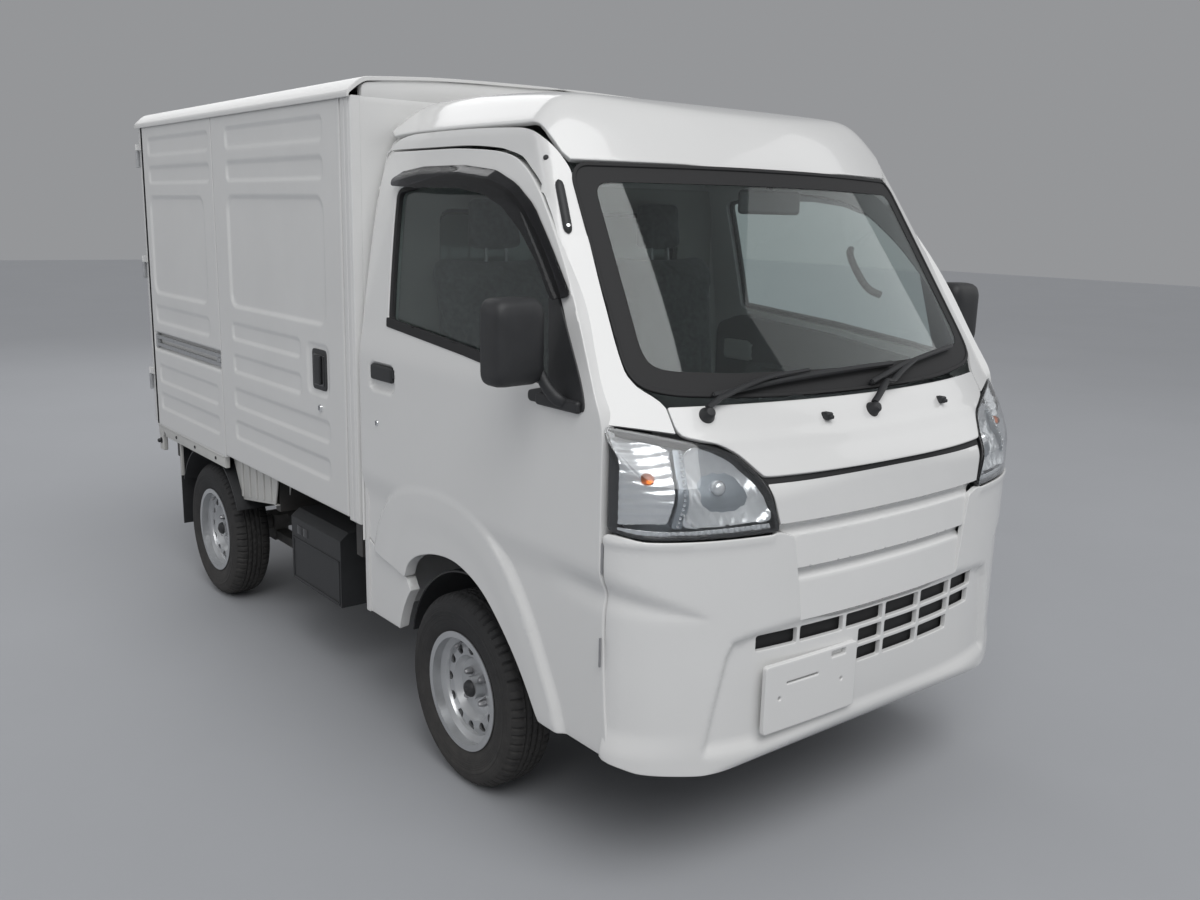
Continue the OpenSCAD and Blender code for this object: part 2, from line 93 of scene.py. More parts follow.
side_x = smooth([(300, 727.5), (360, HALF), (1115, HALF), (1236, 722), (1418, 696), (1617, 660),
                 (1690, 640), (1750, 628), (1800, 608)])
plan_y = smooth([(0, FRONT), (50, FRONT), (200, -1689), (380, -1671), (480, -1652), (560, -1629),
                 (625, -1600), (670, -1572), (705, -1535), (728, -1495), (HALF, -1455)])
low_y = smooth([(305, -1640), (335, -1672), (372, -1688), (560, FRONT), (650, FRONT),
                (1000, -1692), (1066, -1680), (1800, -1620)])
roof_x = smooth([(0, 1888), (60, 1888), (250, 1884), (440, 1872), (520, 1848), (585, 1800),
                 (628, 1750), (640, 1690), (660, 1600)])
roof_y = smooth([(-1235, 1676), (-1196, 1748), (-1120, 1812), (-890, 1860), (-500, 1884),
                 (-385, 1880), (-345, 1856), (CAB_BACK, 1780)])


def barrel_y(x, z, radius, tilt, y0, z0):
    """y of a cylinder whose axis leans back by tilt and whose front line passes (y0, z0):
    the line's own y plus the sagitta over the cosine of the tilt."""
    t = np.radians(tilt)
    sagitta = radius - np.sqrt(radius ** 2 - x ** 2)
    return y0 + ((z - z0) * np.sin(t) + sagitta) / np.cos(t)


def screen_y(x, z):
    """y of the windscreen's barrel at height z."""
    return barrel_y(x, z, 2112, 33.77, -1588, 1148)


def front_y(x, z):
    """y of the cab's front skin: the rearmost of the lower profile, the plan curve and the two
    leaning barrels, with each crossing rounded."""
    x = np.abs(x)
    y = smax(low_y(z), plan_y(x), 12)
    hood = np.where(z < 1150, barrel_y(x, z, 3500, 50.5, -1680, 1066), -9e3)
    return smax(smax(y, hood, 14), screen_y(x, z), 16)


def roof_z(x, y):
    """z of the roof cap: the lowest of the cross section, the long profile and the windscreen's
    barrel carried upwards, with each crossing rounded."""
    t = np.radians(33.77)
    sagitta = 2112 - np.sqrt(2112 ** 2 - x ** 2)
    lean = 1148 + ((y + 1588) * np.cos(t) - sagitta) / np.sin(t)
    return smin(smin(roof_x(np.abs(x)), roof_y(y), 40), lean, 60)


def path_distance(p, path):
    """The shortest distance from each point to a polyline, and whether the point is inside it
    when it is closed."""
    p = np.asarray(p, float)
    a = np.asarray(path, float)
    b = np.roll(a, -1, axis=0)
    inside = np.zeros(len(p), bool)
    for q, r in zip(a, b):
        cut = (q[1] > p[:, 1]) != (r[1] > p[:, 1])
        with np.errstate(divide="ignore", invalid="ignore"):
            x = (r[0] - q[0]) * (p[:, 1] - q[1]) / (r[1] - q[1]) + q[0]
        inside ^= cut & (p[:, 0] < x)
    a, d = a[:-1], np.diff(a, axis=0)
    best = np.full(len(p), 1e9)
    for q, e in zip(a, d):
        t = np.clip((p - q) @ e / max(e @ e, 1e-9), 0, 1)
        best = np.minimum(best, np.linalg.norm(p - q - t[:, None] * e, axis=1))
    return best, inside


def rounded(u, v, u0, u1, v0, v1, r):
    """Signed distance to a rounded rectangle: the length of what sticks out of its core, less r."""
    du = np.abs(u - (u0 + u1) / 2) - abs(u1 - u0) / 2 + r
    dv = np.abs(v - (v0 + v1) / 2) - abs(v1 - v0) / 2 + r
    return np.hypot(np.maximum(du, 0), np.maximum(dv, 0)) + np.minimum(np.maximum(du, dv), 0) - r


# ---------------------------------------------------------------- pieces

class Piece:
    """Faces collected in millimetres, which build() turns into one object in metres."""

    def __init__(self):
        self.verts, self.faces, self.mats, self.count = [], [], [], 0

    def add(self, verts, faces, mat=0):
        verts = np.asarray(verts, float).reshape(-1, 3)
        for f in faces:
            f = np.asarray(f, int)
            self.faces.append(f + self.count)
            self.mats.append(np.full(len(f), mat))
        self.verts.append(verts)
        self.count += len(verts)
        return self

    def both(self):
        """Adds everything again on the other side of the truck, with the faces turned round."""
        v, f, m = np.vstack(self.verts), list(self.faces), list(self.mats)
        self.verts.append(v * [-1, 1, 1])
        self.faces += [g[:, ::-1] + self.count for g in f]
        self.mats += m
        self.count *= 2
        return self

    def side(self, s):
        """This piece on the left (1) or the right (-1) of the truck."""
        out = Piece()
        out.verts = [v * [s, 1, 1] for v in self.verts]
        out.faces = [f if s > 0 else f[:, ::-1] for f in self.faces]
        out.mats, out.count = list(self.mats), self.count
        return out


def build(name, piece, mats, body, hide=(), angle=38, weld=True):
    """One object from a Piece: doubles merged, faces turned outwards, edges above angle kept
    sharp. hide names the CAD nodes that it stands for."""
    verts = np.vstack(piece.verts) / 1000
    sizes = np.concatenate([np.full(len(f), f.shape[1]) for f in piece.faces])
    loops = np.concatenate([f.ravel() for f in piece.faces])
    mesh = bpy.data.meshes.new(name)
    mesh.vertices.add(len(verts))
    mesh.vertices.foreach_set("co", verts.ravel())
    mesh.loops.add(len(loops))
    mesh.loops.foreach_set("vertex_index", loops)
    mesh.polygons.add(len(sizes))
    mesh.polygons.foreach_set("loop_start", np.r_[0, np.cumsum(sizes)[:-1]])
    for m in mats:
        mesh.materials.append(m)
    mesh.polygons.foreach_set("material_index", np.concatenate(piece.mats))
    mesh.update(calc_edges=True)
    mesh.validate()
    if weld:
        bm = bmesh.new()
        bm.from_mesh(mesh)
        bmesh.ops.remove_doubles(bm, verts=bm.verts, dist=2e-5)
        bmesh.ops.dissolve_degenerate(bm, dist=1e-5, edges=bm.edges)
        bmesh.ops.recalc_face_normals(bm, faces=bm.faces)
        bm.to_mesh(mesh)
        bm.free()
    mesh.polygons.foreach_set("use_smooth", np.ones(len(mesh.polygons), bool))
    mesh.set_sharp_from_angle(angle=np.radians(angle))
    obj = bpy.data.objects.new(name, mesh)
    bpy.context.scene.collection.objects.link(obj)
    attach(obj, body)
    if hide:
        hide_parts(*hide)
    return obj


def grid(points, close_u=False, close_v=False):
    """Quads over a (u, v, 3) array, joined round where it closes."""
    nu, nv = points.shape[:2]
    i = np.arange(nu * nv).reshape(nu, nv)
    if close_u:
        i = np.vstack([i, i[:1]])
    if close_v:
        i = np.hstack([i, i[:, :1]])
    quads = np.stack([i[:-1, :-1], i[1:, :-1], i[1:, 1:], i[:-1, 1:]], -1).reshape(-1, 4)
    return points.reshape(-1, 3), [quads]


def spin(profile, centre, axis, n=48, start=0.0, turn=2 * PI):
    """A (radius, along) profile carried round an axis: centre + along * axis + radius * (cosine
    of the angle * one cross direction + sine * the other). A profile that starts or ends on
    the axis closes there."""
    axis = np.array(axis, float) / np.linalg.norm(axis)
    a = np.cross(axis, [0, 0, 1] if abs(axis[2]) < 0.9 else [0, 1, 0])
    a /= np.linalg.norm(a)
    b = np.cross(axis, a)
    full = turn > 6.28
    t = start + np.linspace(0, turn, n, endpoint=not full)
    r, h = np.array(profile, float).T
    p = (np.array(centre, float) + h[:, None, None] * axis
         + r[:, None, None] * (np.cos(t)[None, :, None] * a + np.sin(t)[None, :, None] * b))
    return grid(p, close_v=full)


def loft(sections, caps=True):
    """Quads between closed outlines with the same number of points, and an end face on each."""
    p = np.array(sections, float)
    verts, faces = grid(p, close_v=True)
    if caps:
        n, k = p.shape[1], len(verts)
        faces += [np.arange(n)[::-1][None], np.arange(k - n, k)[None]]
    return verts, faces


def ribbon(points, n):
    """n points on the smooth curve through the given ones, which passes each with the slope
    between its neighbours."""
    p = np.array(points, float)
    d = np.r_[0, np.cumsum(np.linalg.norm(np.diff(p, axis=0), axis=1))]
    m = np.gradient(p, d, axis=0)
    q = np.linspace(0, d[-1], n)
    i = np.clip(np.searchsorted(d, q) - 1, 0, len(d) - 2)
    h = (d[i + 1] - d[i])[:, None]
    t = ((q - d[i]) / (d[i + 1] - d[i]))[:, None]
    return (p[i] * (1 + 2 * t) * (1 - t) ** 2 + m[i] * h * t * (1 - t) ** 2
            + p[i + 1] * t * t * (3 - 2 * t) + m[i + 1] * h * t * t * (t - 1))


def tube(points, radius, n=12, count=0, flat=1.0):
    """A round section carried along a smooth path: each ring is the path point plus the radius
    times cosine and sine of the angle along two directions square to the path."""
    p = ribbon(points, count) if count else np.array(points, float)
    t = np.gradient(p, axis=0)
    t /= np.linalg.norm(t, axis=1)[:, None]
    ref = np.array([0, 0, 1.0]) if np.abs(t[:, 2]).max() < 0.95 else np.array([1.0, 0.1, 0])
    a = np.cross(t, ref)
    a /= np.linalg.norm(a, axis=1)[:, None]
    b = np.cross(t, a)
    w = np.linspace(0, 2 * PI, n, endpoint=False)
    r = np.broadcast_to(np.asarray(radius, float), (len(p),))[:, None, None]
    rings = p[:, None] + r * (np.cos(w)[None, :, None] * a[:, None]
                              + flat * np.sin(w)[None, :, None] * b[:, None])
    return loft(rings)


def block(low, high, r=3, seg=3):
    """A box with rounded edges: points of a subdivided cube, pulled in to a core r smaller and
    pushed back out by r along the direction from the core."""
    low, high = np.minimum(low, high).astype(float), np.maximum(low, high).astype(float)
    r = min(r, (high - low).min() / 2 - 0.01)
    t = np.tan(np.linspace(0, PI / 4, seg + 1)) * r
    s = [np.r_[low[k], low[k] + r - t[::-1][1:-1], low[k] + r, high[k] - r, high[k] - r + t[1:]]
         for k in range(3)]
    verts, faces, count = [], [], 0
    for k in range(3):
        for end in (0, -1):
            i, j = [a for a in range(3) if a != k]
            g = np.zeros((len(s[i]), len(s[j]), 3))
            g[..., i], g[..., j] = np.meshgrid(s[i], s[j], indexing="ij")
            g[..., k] = s[k][end]
            core = np.clip(g, low + r, high - r)
            out = g - core
            out /= np.maximum(np.linalg.norm(out, axis=-1, keepdims=True), 1e-9)
            v, f = grid(core + r * out)
            verts.append(v)
            faces.append(f[0] + count)
            count += len(v)
    return np.vstack(verts), faces


def prism(outline, place, low, high, bevel=2.0):
    """A flat outline raised from low to high, with its edges bevelled at both ends: rings of
    the outline pulled in by the bevel, and an end face on each. place(u, v, h) gives x, y, z."""
    p = np.array(outline, float)
    if np.sum(p[:, 0] * np.roll(p[:, 1], -1) - np.roll(p[:, 0], -1) * p[:, 1]) < 0:
        p = p[::-1]
    rings = []
    for inset, h in ((bevel, low), (bevel * 0.3, low + bevel * 0.3), (0, low + bevel),
                     (0, high - bevel), (bevel * 0.3, high - bevel * 0.3), (bevel, high)):
        q = offset(p, -inset)
        rings.append(np.stack(place(q[:, 0], q[:, 1], np.full(len(q), float(h))), -1))
    return loft(rings)


def offset(loop, by):
    """A counter-clockwise closed outline moved outwards by a distance, along the mean of the
    two edge directions' outward normals at each corner."""
    e = np.roll(loop, -1, axis=0) - loop
    e /= np.maximum(np.linalg.norm(e, axis=1), 1e-9)[:, None]
    n = np.stack([e[:, 1], -e[:, 0]], -1)
    m = n + np.roll(n, 1, axis=0)
    m /= np.maximum((m ** 2).sum(1), 0.6)[:, None] / 2
    return loop + by * m


def turned(loop):
    """The loop run anticlockwise, told by the sign of twice its area."""
    return loop if np.sum(np.cross(loop, np.roll(loop, -1, 0))) > 0 else loop[::-1]


def resample(loop, gap):
    """A closed outline with extra points along its edges, no further apart than gap."""
    out = []
    for a, b in zip(loop, np.roll(loop, -1, axis=0)):
        k = max(1, int(np.ceil(np.linalg.norm(b - a) / gap)))
        out.append(a + (b - a) * (np.arange(k) / k)[:, None])
    return np.vstack(out)


def arcs(loop, radius, n=5):
    """A closed outline with each corner rounded: points of the quadratic curve from radius
    before the corner to radius after it, or half the edge where that is shorter."""
    p = np.array(loop, float)
    rad = np.broadcast_to(np.asarray(radius, float), (len(p),))
    out = []
    for i in range(len(p)):
        a, b, c = p[i - 1], p[i], p[(i + 1) % len(p)]
        la, lc = np.linalg.norm(a - b), np.linalg.norm(c - b)
        r1, r2 = min(rad[i], la * 0.48), min(rad[i], lc * 0.48)
        s, e = b + (a - b) / la * r1, b + (c - b) / lc * r2
        t = np.linspace(0, 1, n)[:, None]
        out.append((1 - t) ** 2 * s + 2 * t * (1 - t) * b + t * t * e)
    return np.vstack(out)


def lift(chart, uv, depth=0.0):
    """The chart's points moved in along the surface normal, found from the cross product of
    small steps in u and v."""
    u, v = uv[:, 0], uv[:, 1]
    p = np.stack(chart(u, v), -1)
    e = 0.4
    pu = np.stack(chart(u + e, v), -1) - np.stack(chart(u - e, v), -1)
    pv = np.stack(chart(u, v + e), -1) - np.stack(chart(u, v - e), -1)
    n = np.cross(pu, pv)
    n /= np.maximum(np.linalg.norm(n, axis=1), 1e-9)[:, None]
    return p + n * (np.asarray(depth, float) * chart.inward)[..., None]


def panel(chart, outline, holes=(), gap=14, depth=12, edge=1.6, extra=None, lift_by=0.0):
    """A skin over a chart: the outline and its holes filled with evenly spaced triangles, then
    rolled over a small radius at every edge, carried in to the given depth and closed behind."""
    loops = []
    for k, loop in enumerate((outline, *holes)):
        p = np.array(loop, float)
        area = np.sum(p[:, 0] * np.roll(p[:, 1], -1) - np.roll(p[:, 0], -1) * p[:, 1])
        p = p if area > 0 else p[::-1]
        loops.append(resample(p, gap * 0.7))
    sign = [1] + [-1] * len(holes)
    inner = [offset(l, -edge * s) for l, s in zip(loops, sign)]
    hold = [offset(l, -(edge + 3) * s) for l, s in zip(loops, sign)]
    low, high = loops[0].min(0), loops[0].max(0)
    u, v = np.meshgrid(np.arange(low[0], high[0], gap), np.arange(low[1], high[1], gap * 0.87))
    u[::2] += gap / 2
    pts = np.stack([u.ravel(), v.ravel()], -1)
    if extra is not None:
        pts = np.vstack([pts, extra])
    keep = path_distance(pts, loops[0])[1]
    for h in loops[1:]:
        keep &= ~path_distance(pts, h)[1]
    pts = pts[keep]
    for l in loops:
        closed = np.vstack([l, l[:1]])
        pts = pts[path_distance(pts, closed)[0] > edge + 3 + gap * 0.3]
    allp = np.vstack([*inner, *hold, pts])
    edges, start = [], 0
    for l in [*inner, *hold]:
        k = len(l)
        edges += [(start + i, start + (i + 1) % k) for i in range(k)]
        start += k
    out = delaunay_2d_cdt([Vector(p) for p in allp], edges, [], 0, 1e-4)
    uv = np.array([tuple(p) for p in out[0]])
    tri = np.array([f for f in out[2] if len(f) == 3])
    where = np.full(len(allp), -1)
    for k, origin in enumerate(out[3]):
        for o in origin:
            where[o] = k
    mid = uv[tri].mean(1)
    ok = path_distance(mid, inner[0])[1]
    for h in inner[1:]:
        ok &= ~path_distance(mid, h)[1]
    tri = tri[ok]
    n = len(uv)
    verts = [lift(chart, uv, lift_by), lift(chart, uv, depth + lift_by)]
    faces = [tri, tri[:, ::-1] + n]
    count, start = 2 * n, 0
    for l, s in zip(loops, sign):
        k = len(l)
        ids = where[start:start + k]
        start += k
        rings = [ids]
        for deg, deep in ((30, 0), (60, 0), (90, 0), (90, 1)):
            a = np.radians(deg)
            q = offset(l, -edge * s * (1 - np.sin(a)))
            verts.append(lift(chart, q, (depth if deep else edge * (1 - np.cos(a))) + lift_by))
            rings.append(count + np.arange(k))
            count += k
        rings.append(ids + n)
        r = np.array(rings)
        r = np.hstack([r, r[:, :1]])
        faces.append(np.stack([r[:-1, :-1], r[1:, :-1], r[1:, 1:], r[:-1, 1:]], -1).reshape(-1, 4))
    return np.vstack(verts), faces


def slab(u0, u1, v0, v1, place, gap=9, thick=30, r=2.5, height=None, us=(), vs=()):
    """A flat wall with rounded edges and a pressed face: a grid whose height is a function of
    (u, v), rolled over its edges to the wall's thickness, with one face behind."""
    def run(a, b, more):
        c = np.linspace(a + r, b - r, max(2, int((b - a) / gap)))
        c = np.unique(np.r_[c, [m for m in more if a + r < m < b - r]])
        c = c[np.r_[True, np.diff(c) > gap * 0.12]]
        return (np.r_[a, a, a + 0.3 * r, c, b - 0.3 * r, b, b],
                np.r_[thick, r, 0.3 * r, np.zeros(len(c)), 0.3 * r, r, thick])
    u, du = run(u0, u1, us)
    v, dv = run(v0, v1, vs)
    U, V = np.meshgrid(u, v, indexing="ij")
    D = np.maximum(*np.meshgrid(du, dv, indexing="ij"))
    H = np.where(D > 0, 0, height(U, V)) if height else 0 * U
    verts, faces = grid(np.stack(place(U, V, H - D), -1))
    nu, nv = U.shape
    i = np.arange(nu * nv).reshape(nu, nv)
    rim = np.r_[i[0, :-1], i[:-1, -1], i[-1, :0:-1], i[:0:-1, 0]]
    return verts, faces + [rim[None]]


class Chart:
    """A surface over (u, v), with the sign that turns its cross product inwards."""

    def __init__(self, fn, inward):
        self.fn, self.inward = fn, inward

    def __call__(self, u, v):
        return self.fn(u, v)


# ---------------------------------------------------------------- finishes

def material(name, colour, rough, metal=0.0, vary=0.05, scale=6.0, bump=0.03, grain=400.0,
             rough_vary=0.06, dust=None, dust_to=(0.30, 0.27, 0.23), fibre=None, **sockets):
    """A finish on Object coordinates. Broad noise shifts the colour and the roughness a little,
    fine noise gives the grain, dust fades in towards the given height in metres, and fibre
    stretches the grain along an axis."""
    m = bpy.data.materials.new(name)
    m.use_nodes = True
    tree = m.node_tree
    shader = tree.nodes["Principled BSDF"]

    def node(kind, **inputs):
        n = tree.nodes.new(kind)
        for key, value in inputs.items():
            n.inputs[key].default_value = value
        return n

    def link(a, b):
        tree.links.new(a, b)

    place = tree.nodes.new("ShaderNodeTexCoord").outputs["Object"]
    broad = node("ShaderNodeTexNoise", Scale=scale, Detail=5.0, Roughness=0.6)
    link(place, broad.inputs["Vector"])
    ramp = tree.nodes.new("ShaderNodeValToRGB")
    rgb = np.array(colour, float)
    ramp.color_ramp.elements[0].color = (*np.clip(rgb * (1 - vary), 0, 1), 1)
    ramp.color_ramp.elements[1].color = (*np.clip(rgb * (1 + vary), 0, 1), 1)
    ramp.color_ramp.elements[0].position, ramp.color_ramp.elements[1].position = 0.3, 0.7
    link(broad.outputs["Fac"], ramp.inputs["Fac"])
    colour_out = ramp.outputs["Color"]
    if dust:
        low, high, most = dust
        split = tree.nodes.new("ShaderNodeSeparateXYZ")
        link(place, split.inputs[0])
        fade = node("ShaderNodeMapRange")
        fade.inputs["From Min"].default_value, fade.inputs["From Max"].default_value = high, low
        fade.inputs["To Max"].default_value = most
        link(split.outputs["Z"], fade.inputs["Value"])
        patch = tree.nodes.new("ShaderNodeMath")
        patch.operation = "MULTIPLY"
        link(fade.outputs[0], patch.inputs[0])
        link(broad.outputs["Fac"], patch.inputs[1])
        mix = tree.nodes.new("ShaderNodeMix")
        mix.data_type = "RGBA"
        mix.inputs["B"].default_value = (*dust_to, 1)
        link(patch.outputs[0], mix.inputs["Factor"])
        link(colour_out, mix.inputs["A"])
        colour_out = mix.outputs["Result"]
    link(colour_out, shader.inputs["Base Color"])
    if rough_vary:
        span = node("ShaderNodeMapRange")
        span.inputs["To Min"].default_value = max(0.0, rough - rough_vary)
        span.inputs["To Max"].default_value = rough + rough_vary
        link(broad.outputs["Fac"], span.inputs["Value"])
        link(span.outputs[0], shader.inputs["Roughness"])
    else:
        shader.inputs["Roughness"].default_value = rough
    if bump:
        fine = node("ShaderNodeTexNoise", Scale=grain, Detail=3.0, Roughness=0.55)
        if fibre:
            stretch = tree.nodes.new("ShaderNodeMapping")
            stretch.inputs["Scale"].default_value = fibre
            link(place, stretch.inputs["Vector"])
            link(stretch.outputs[0], fine.inputs["Vector"])
        else:
            link(place, fine.inputs["Vector"])
        rise = node("ShaderNodeBump", Strength=bump, Distance=0.001)
        link(fine.outputs["Fac"], rise.inputs["Height"])
        link(rise.outputs[0], shader.inputs["Normal"])
    shader.inputs["Metallic"].default_value = metal
    for key, value in sockets.items():
        shader.inputs[key.replace("_", " ")].default_value = value
    return m


PAINT = material("cab_paint", (0.80, 0.80, 0.79), 0.22, vary=0.012, scale=3, bump=0.02,
                 grain=900, rough_vary=0.03, dust=(0.25, 0.75, 0.12), Coat_Weight=0.6,
                 Coat_Roughness=0.04)
PANEL_PAINT = material("box_paint", (0.78, 0.78, 0.77), 0.32, vary=0.02, scale=4, bump=0.05,
                       grain=500, rough_vary=0.05, dust=(0.5, 1.0, 0.15), Coat_Weight=0.25,
                       Coat_Roughness=0.12)
BUMPER_WHITE = material("bumper_white", (0.79, 0.79, 0.78), 0.26, vary=0.012, scale=5, bump=0.03,
                        grain=900, rough_vary=0.03, dust=(0.28, 0.6, 0.12), Coat_Weight=0.5,
                        Coat_Roughness=0.06)
UNDERPAINT = material("underbody_white", (0.62, 0.62, 0.60), 0.5, vary=0.08, scale=9, bump=0.1,
                      grain=120, dust=(0.2, 0.8, 0.5))
BLACK_TRIM = material("black_trim", (0.028, 0.029, 0.031), 0.5, vary=0.12, scale=20, bump=0.25,
                      grain=1400)
GLOSS_BLACK = material("gloss_black", (0.012, 0.012, 0.013), 0.12, vary=0.1, scale=12, bump=0.0,
                       rough_vary=0.02, Coat_Weight=0.4)
RUBBER = material("seal_rubber", (0.018, 0.018, 0.019), 0.7, vary=0.15, scale=30, bump=0.15,
                  grain=900)
TYRE_RUBBER = material("tyre_rubber", (0.022, 0.022, 0.023), 0.75, vary=0.2, scale=25, bump=0.2,
                       grain=700, dust=(0.0, 0.5, 0.2))
WHEEL_SILVER = material("wheel_silver", (0.58, 0.59, 0.60), 0.34, metal=0.75, vary=0.05,
                        scale=14, bump=0.06, grain=900)
CHROME = material("chrome", (0.86, 0.87, 0.88), 0.07, metal=1.0, vary=0.02, scale=10, bump=0.0,
                  rough_vary=0.02)
BRIGHT = material("reflector_bright", (0.90, 0.91, 0.92), 0.2, metal=0.6, vary=0.03, scale=30,
                  bump=0.1, grain=200, rough_vary=0.04)
LAMP_GREY = material("lamp_grey", (0.36, 0.39, 0.42), 0.3, metal=0.4, vary=0.06, scale=20,
                     bump=0.05, grain=600)
STEEL = material("bare_steel", (0.42, 0.42, 0.43), 0.42, metal=0.85, vary=0.12, scale=22,
                 bump=0.12, grain=300)
CAST = material("cast_metal", (0.26, 0.26, 0.26), 0.6, metal=0.5, vary=0.2, scale=18, bump=0.4,
                grain=160, dust=(0.2, 0.7, 0.5))
CHASSIS = material("chassis_black", (0.035, 0.035, 0.036), 0.55, vary=0.25, scale=8, bump=0.25,
                   grain=150, dust=(0.15, 0.7, 0.45))
EXHAUST = material("exhaust_steel", (0.33, 0.30, 0.27), 0.5, metal=0.7, vary=0.25, scale=12,
                   bump=0.25, grain=200)
GREY_PLASTIC = material("cabin_grey", (0.20, 0.205, 0.21), 0.6, vary=0.05, scale=12, bump=0.3,
                        grain=1100)
PALE_TRIM = material("cabin_pale", (0.48, 0.48, 0.46), 0.65, vary=0.03, scale=10, bump=0.25,
                     grain=900)
DARK_TRIM = material("cabin_dark", (0.05, 0.052, 0.055), 0.55, vary=0.08, scale=14, bump=0.3,
                     grain=1000)
CARPET = material("floor_mat", (0.06, 0.06, 0.06), 0.85, vary=0.2, scale=30, bump=0.5, grain=500)
GALVANISED = material("rail_metal", (0.55, 0.56, 0.57), 0.38, metal=0.85, vary=0.1, scale=30,
                      bump=0.06, grain=300, fibre=(1, 0.05, 1))


def glass(name, tint, rough=0.02, **extra):
    """Clear tinted pane: full transmission with the tint as its colour, thin enough to see
    through without bending what is behind."""
    m = material(name, tint, rough, vary=0.01, scale=4, bump=0.0, rough_vary=0.0, IOR=1.45,
                 Transmission_Weight=1.0, **extra)
    return m


TINTED = glass("tinted_glass", (0.78, 0.86, 0.845))
CLEAR = glass("lamp_lens", (0.97, 0.985, 1.0), 0.02)
SMOKED = glass("smoked_visor", (0.10, 0.10, 0.11), 0.03)
AMBER = glass("amber_lens", (0.95, 0.22, 0.04), 0.08)
RED = glass("red_lens", (0.75, 0.02, 0.015), 0.08)
MIRROR = material("mirror_face", (0.75, 0.77, 0.78), 0.02, metal=1.0, vary=0.01, bump=0.0,
                  rough_vary=0.0)


def cloth():
    """Woven seat cloth: two crossed wave bands multiplied for the threads, over mottled grey."""
    m = material("seat_cloth", (0.13, 0.135, 0.14), 0.85, vary=0.25, scale=60, bump=0.0,
                 Sheen_Weight=0.35, Sheen_Roughness=0.5)
    tree = m.node_tree
    place = next(n for n in tree.nodes if n.type == "TEX_COORD").outputs["Object"]
    waves = []
    for turn in ("X", "Z"):
        w = tree.nodes.new("ShaderNodeTexWave")
        w.bands_direction = turn
        w.inputs["Scale"].default_value = 190
        w.inputs["Distortion"].default_value = 0.6
        tree.links.new(place, w.inputs["Vector"])
        waves.append(w.outputs["Fac"])
    both = tree.nodes.new("ShaderNodeMath")
    both.operation = "MULTIPLY"
    for k, w in enumerate(waves):
        tree.links.new(w, both.inputs[k])
    rise = tree.nodes.new("ShaderNodeBump")
    rise.inputs["Strength"].default_value = 0.5
    rise.inputs["Distance"].default_value = 0.001
    tree.links.new(both.outputs[0], rise.inputs["Height"])
    tree.links.new(rise.outputs[0], tree.nodes["Principled BSDF"].inputs["Normal"])
    return m


SEAT_CLOTH = cloth()
PLYWOOD = material("floor_plywood", (0.38, 0.27, 0.17), 0.6, vary=0.2, scale=5, bump=0.2,
                   grain=40, fibre=(12, 0.6, 12))
FLOOR = material("studio_floor", (0.40, 0.41, 0.43), 0.75, vary=0.02, scale=0.8, bump=0.05,
                 grain=60)


# ---------------------------------------------------------------- studio

def camera():
    """The camera: 32.87 mm lens, turned 38.75 degrees to the truck's right, 12.08 down, and
    rolled 1.36."""
    a, e, r = np.radians((-38.75, 12.08, 1.36))
    back = np.array([np.sin(a) * np.cos(e), -np.cos(a) * np.cos(e), np.sin(e)])
    right = np.cross([0, 0, 1], back)
    right /= np.linalg.norm(right)
    up = np.cross(back, right)
    c, s = np.cos(r), np.sin(r)
    turn = np.array([c * right + s * up, -s * right + c * up, back]).T
    data = bpy.data.cameras.new("camera")
    data.lens, data.sensor_width = 32.874, 36
    obj = bpy.data.objects.new("camera", data)
    obj.matrix_world = Matrix.Translation((-2.1781, -3.2539, 1.5492)) @ Matrix(turn).to_4x4()
    bpy.context.scene.collection.objects.link(obj)
    bpy.context.scene.camera = obj


def lamp(name, spot, aim, size, power):
    """A square soft box at spot, facing aim."""
    data = bpy.data.lights.new(name, "AREA")
    data.shape, data.size, data.energy = "SQUARE", size, power
    obj = bpy.data.objects.new(name, data)
    obj.location = spot
    obj.rotation_euler = (Vector(aim) - Vector(spot)).to_track_quat("-Z", "Y").to_euler()
    bpy.context.scene.collection.objects.link(obj)


def studio():
    """A pale floor, an even pale world, large soft boxes above and to the sides, and a broad sun
    that lights the far floor like the near one."""
    scene = bpy.context.scene
    scene.view_settings.view_transform = "Standard"
    world = bpy.data.worlds.new("studio")
    world.use_nodes = True
    world.node_tree.nodes["Background"].inputs["Color"].default_value = (0.60, 0.61, 0.63, 1)
    world.node_tree.nodes["Background"].inputs["Strength"].default_value = 0.50
    scene.world = world
    lamp("key", (-4.5, -5.5, 6.5), (0, -0.3, 0.9), 4.5, 170)
    lamp("fill", (6.0, -3.5, 4.5), (0, 0, 0.9), 5.0, 50)
    lamp("back", (1.5, 7.0, 5.5), (0, 0.5, 1.0), 5.0, 90)
    lamp("left", (-6.5, 2.5, 3.5), (0, 0.6, 1.0), 4.0, 40)
    sky = bpy.data.lights.new("sky", "SUN")
    sky.energy, sky.angle = 1.05, 0.7
    sun = bpy.data.objects.new("sky", sky)
    sun.rotation_euler = Vector((0.05, 0.55, -0.9)).to_track_quat("-Z", "Y").to_euler()
    scene.collection.objects.link(sun)
    p = Piece()
    a = np.linspace(-30, 30, 13) * 1000
    x, y = np.meshgrid(a, a, indexing="ij")
    p.add(*grid(np.stack([x, y, 0 * x], -1)))
    verts = np.vstack(p.verts) / 1000
    mesh = bpy.data.meshes.new("studio_floor")
    mesh.from_pydata(verts.tolist(), [], p.faces[0].tolist())
    mesh.materials.append(FLOOR)
    obj = bpy.data.objects.new("studio_floor", mesh)
    scene.collection.objects.link(obj)


camera()
studio()


# ---------------------------------------------------------------- cargo box

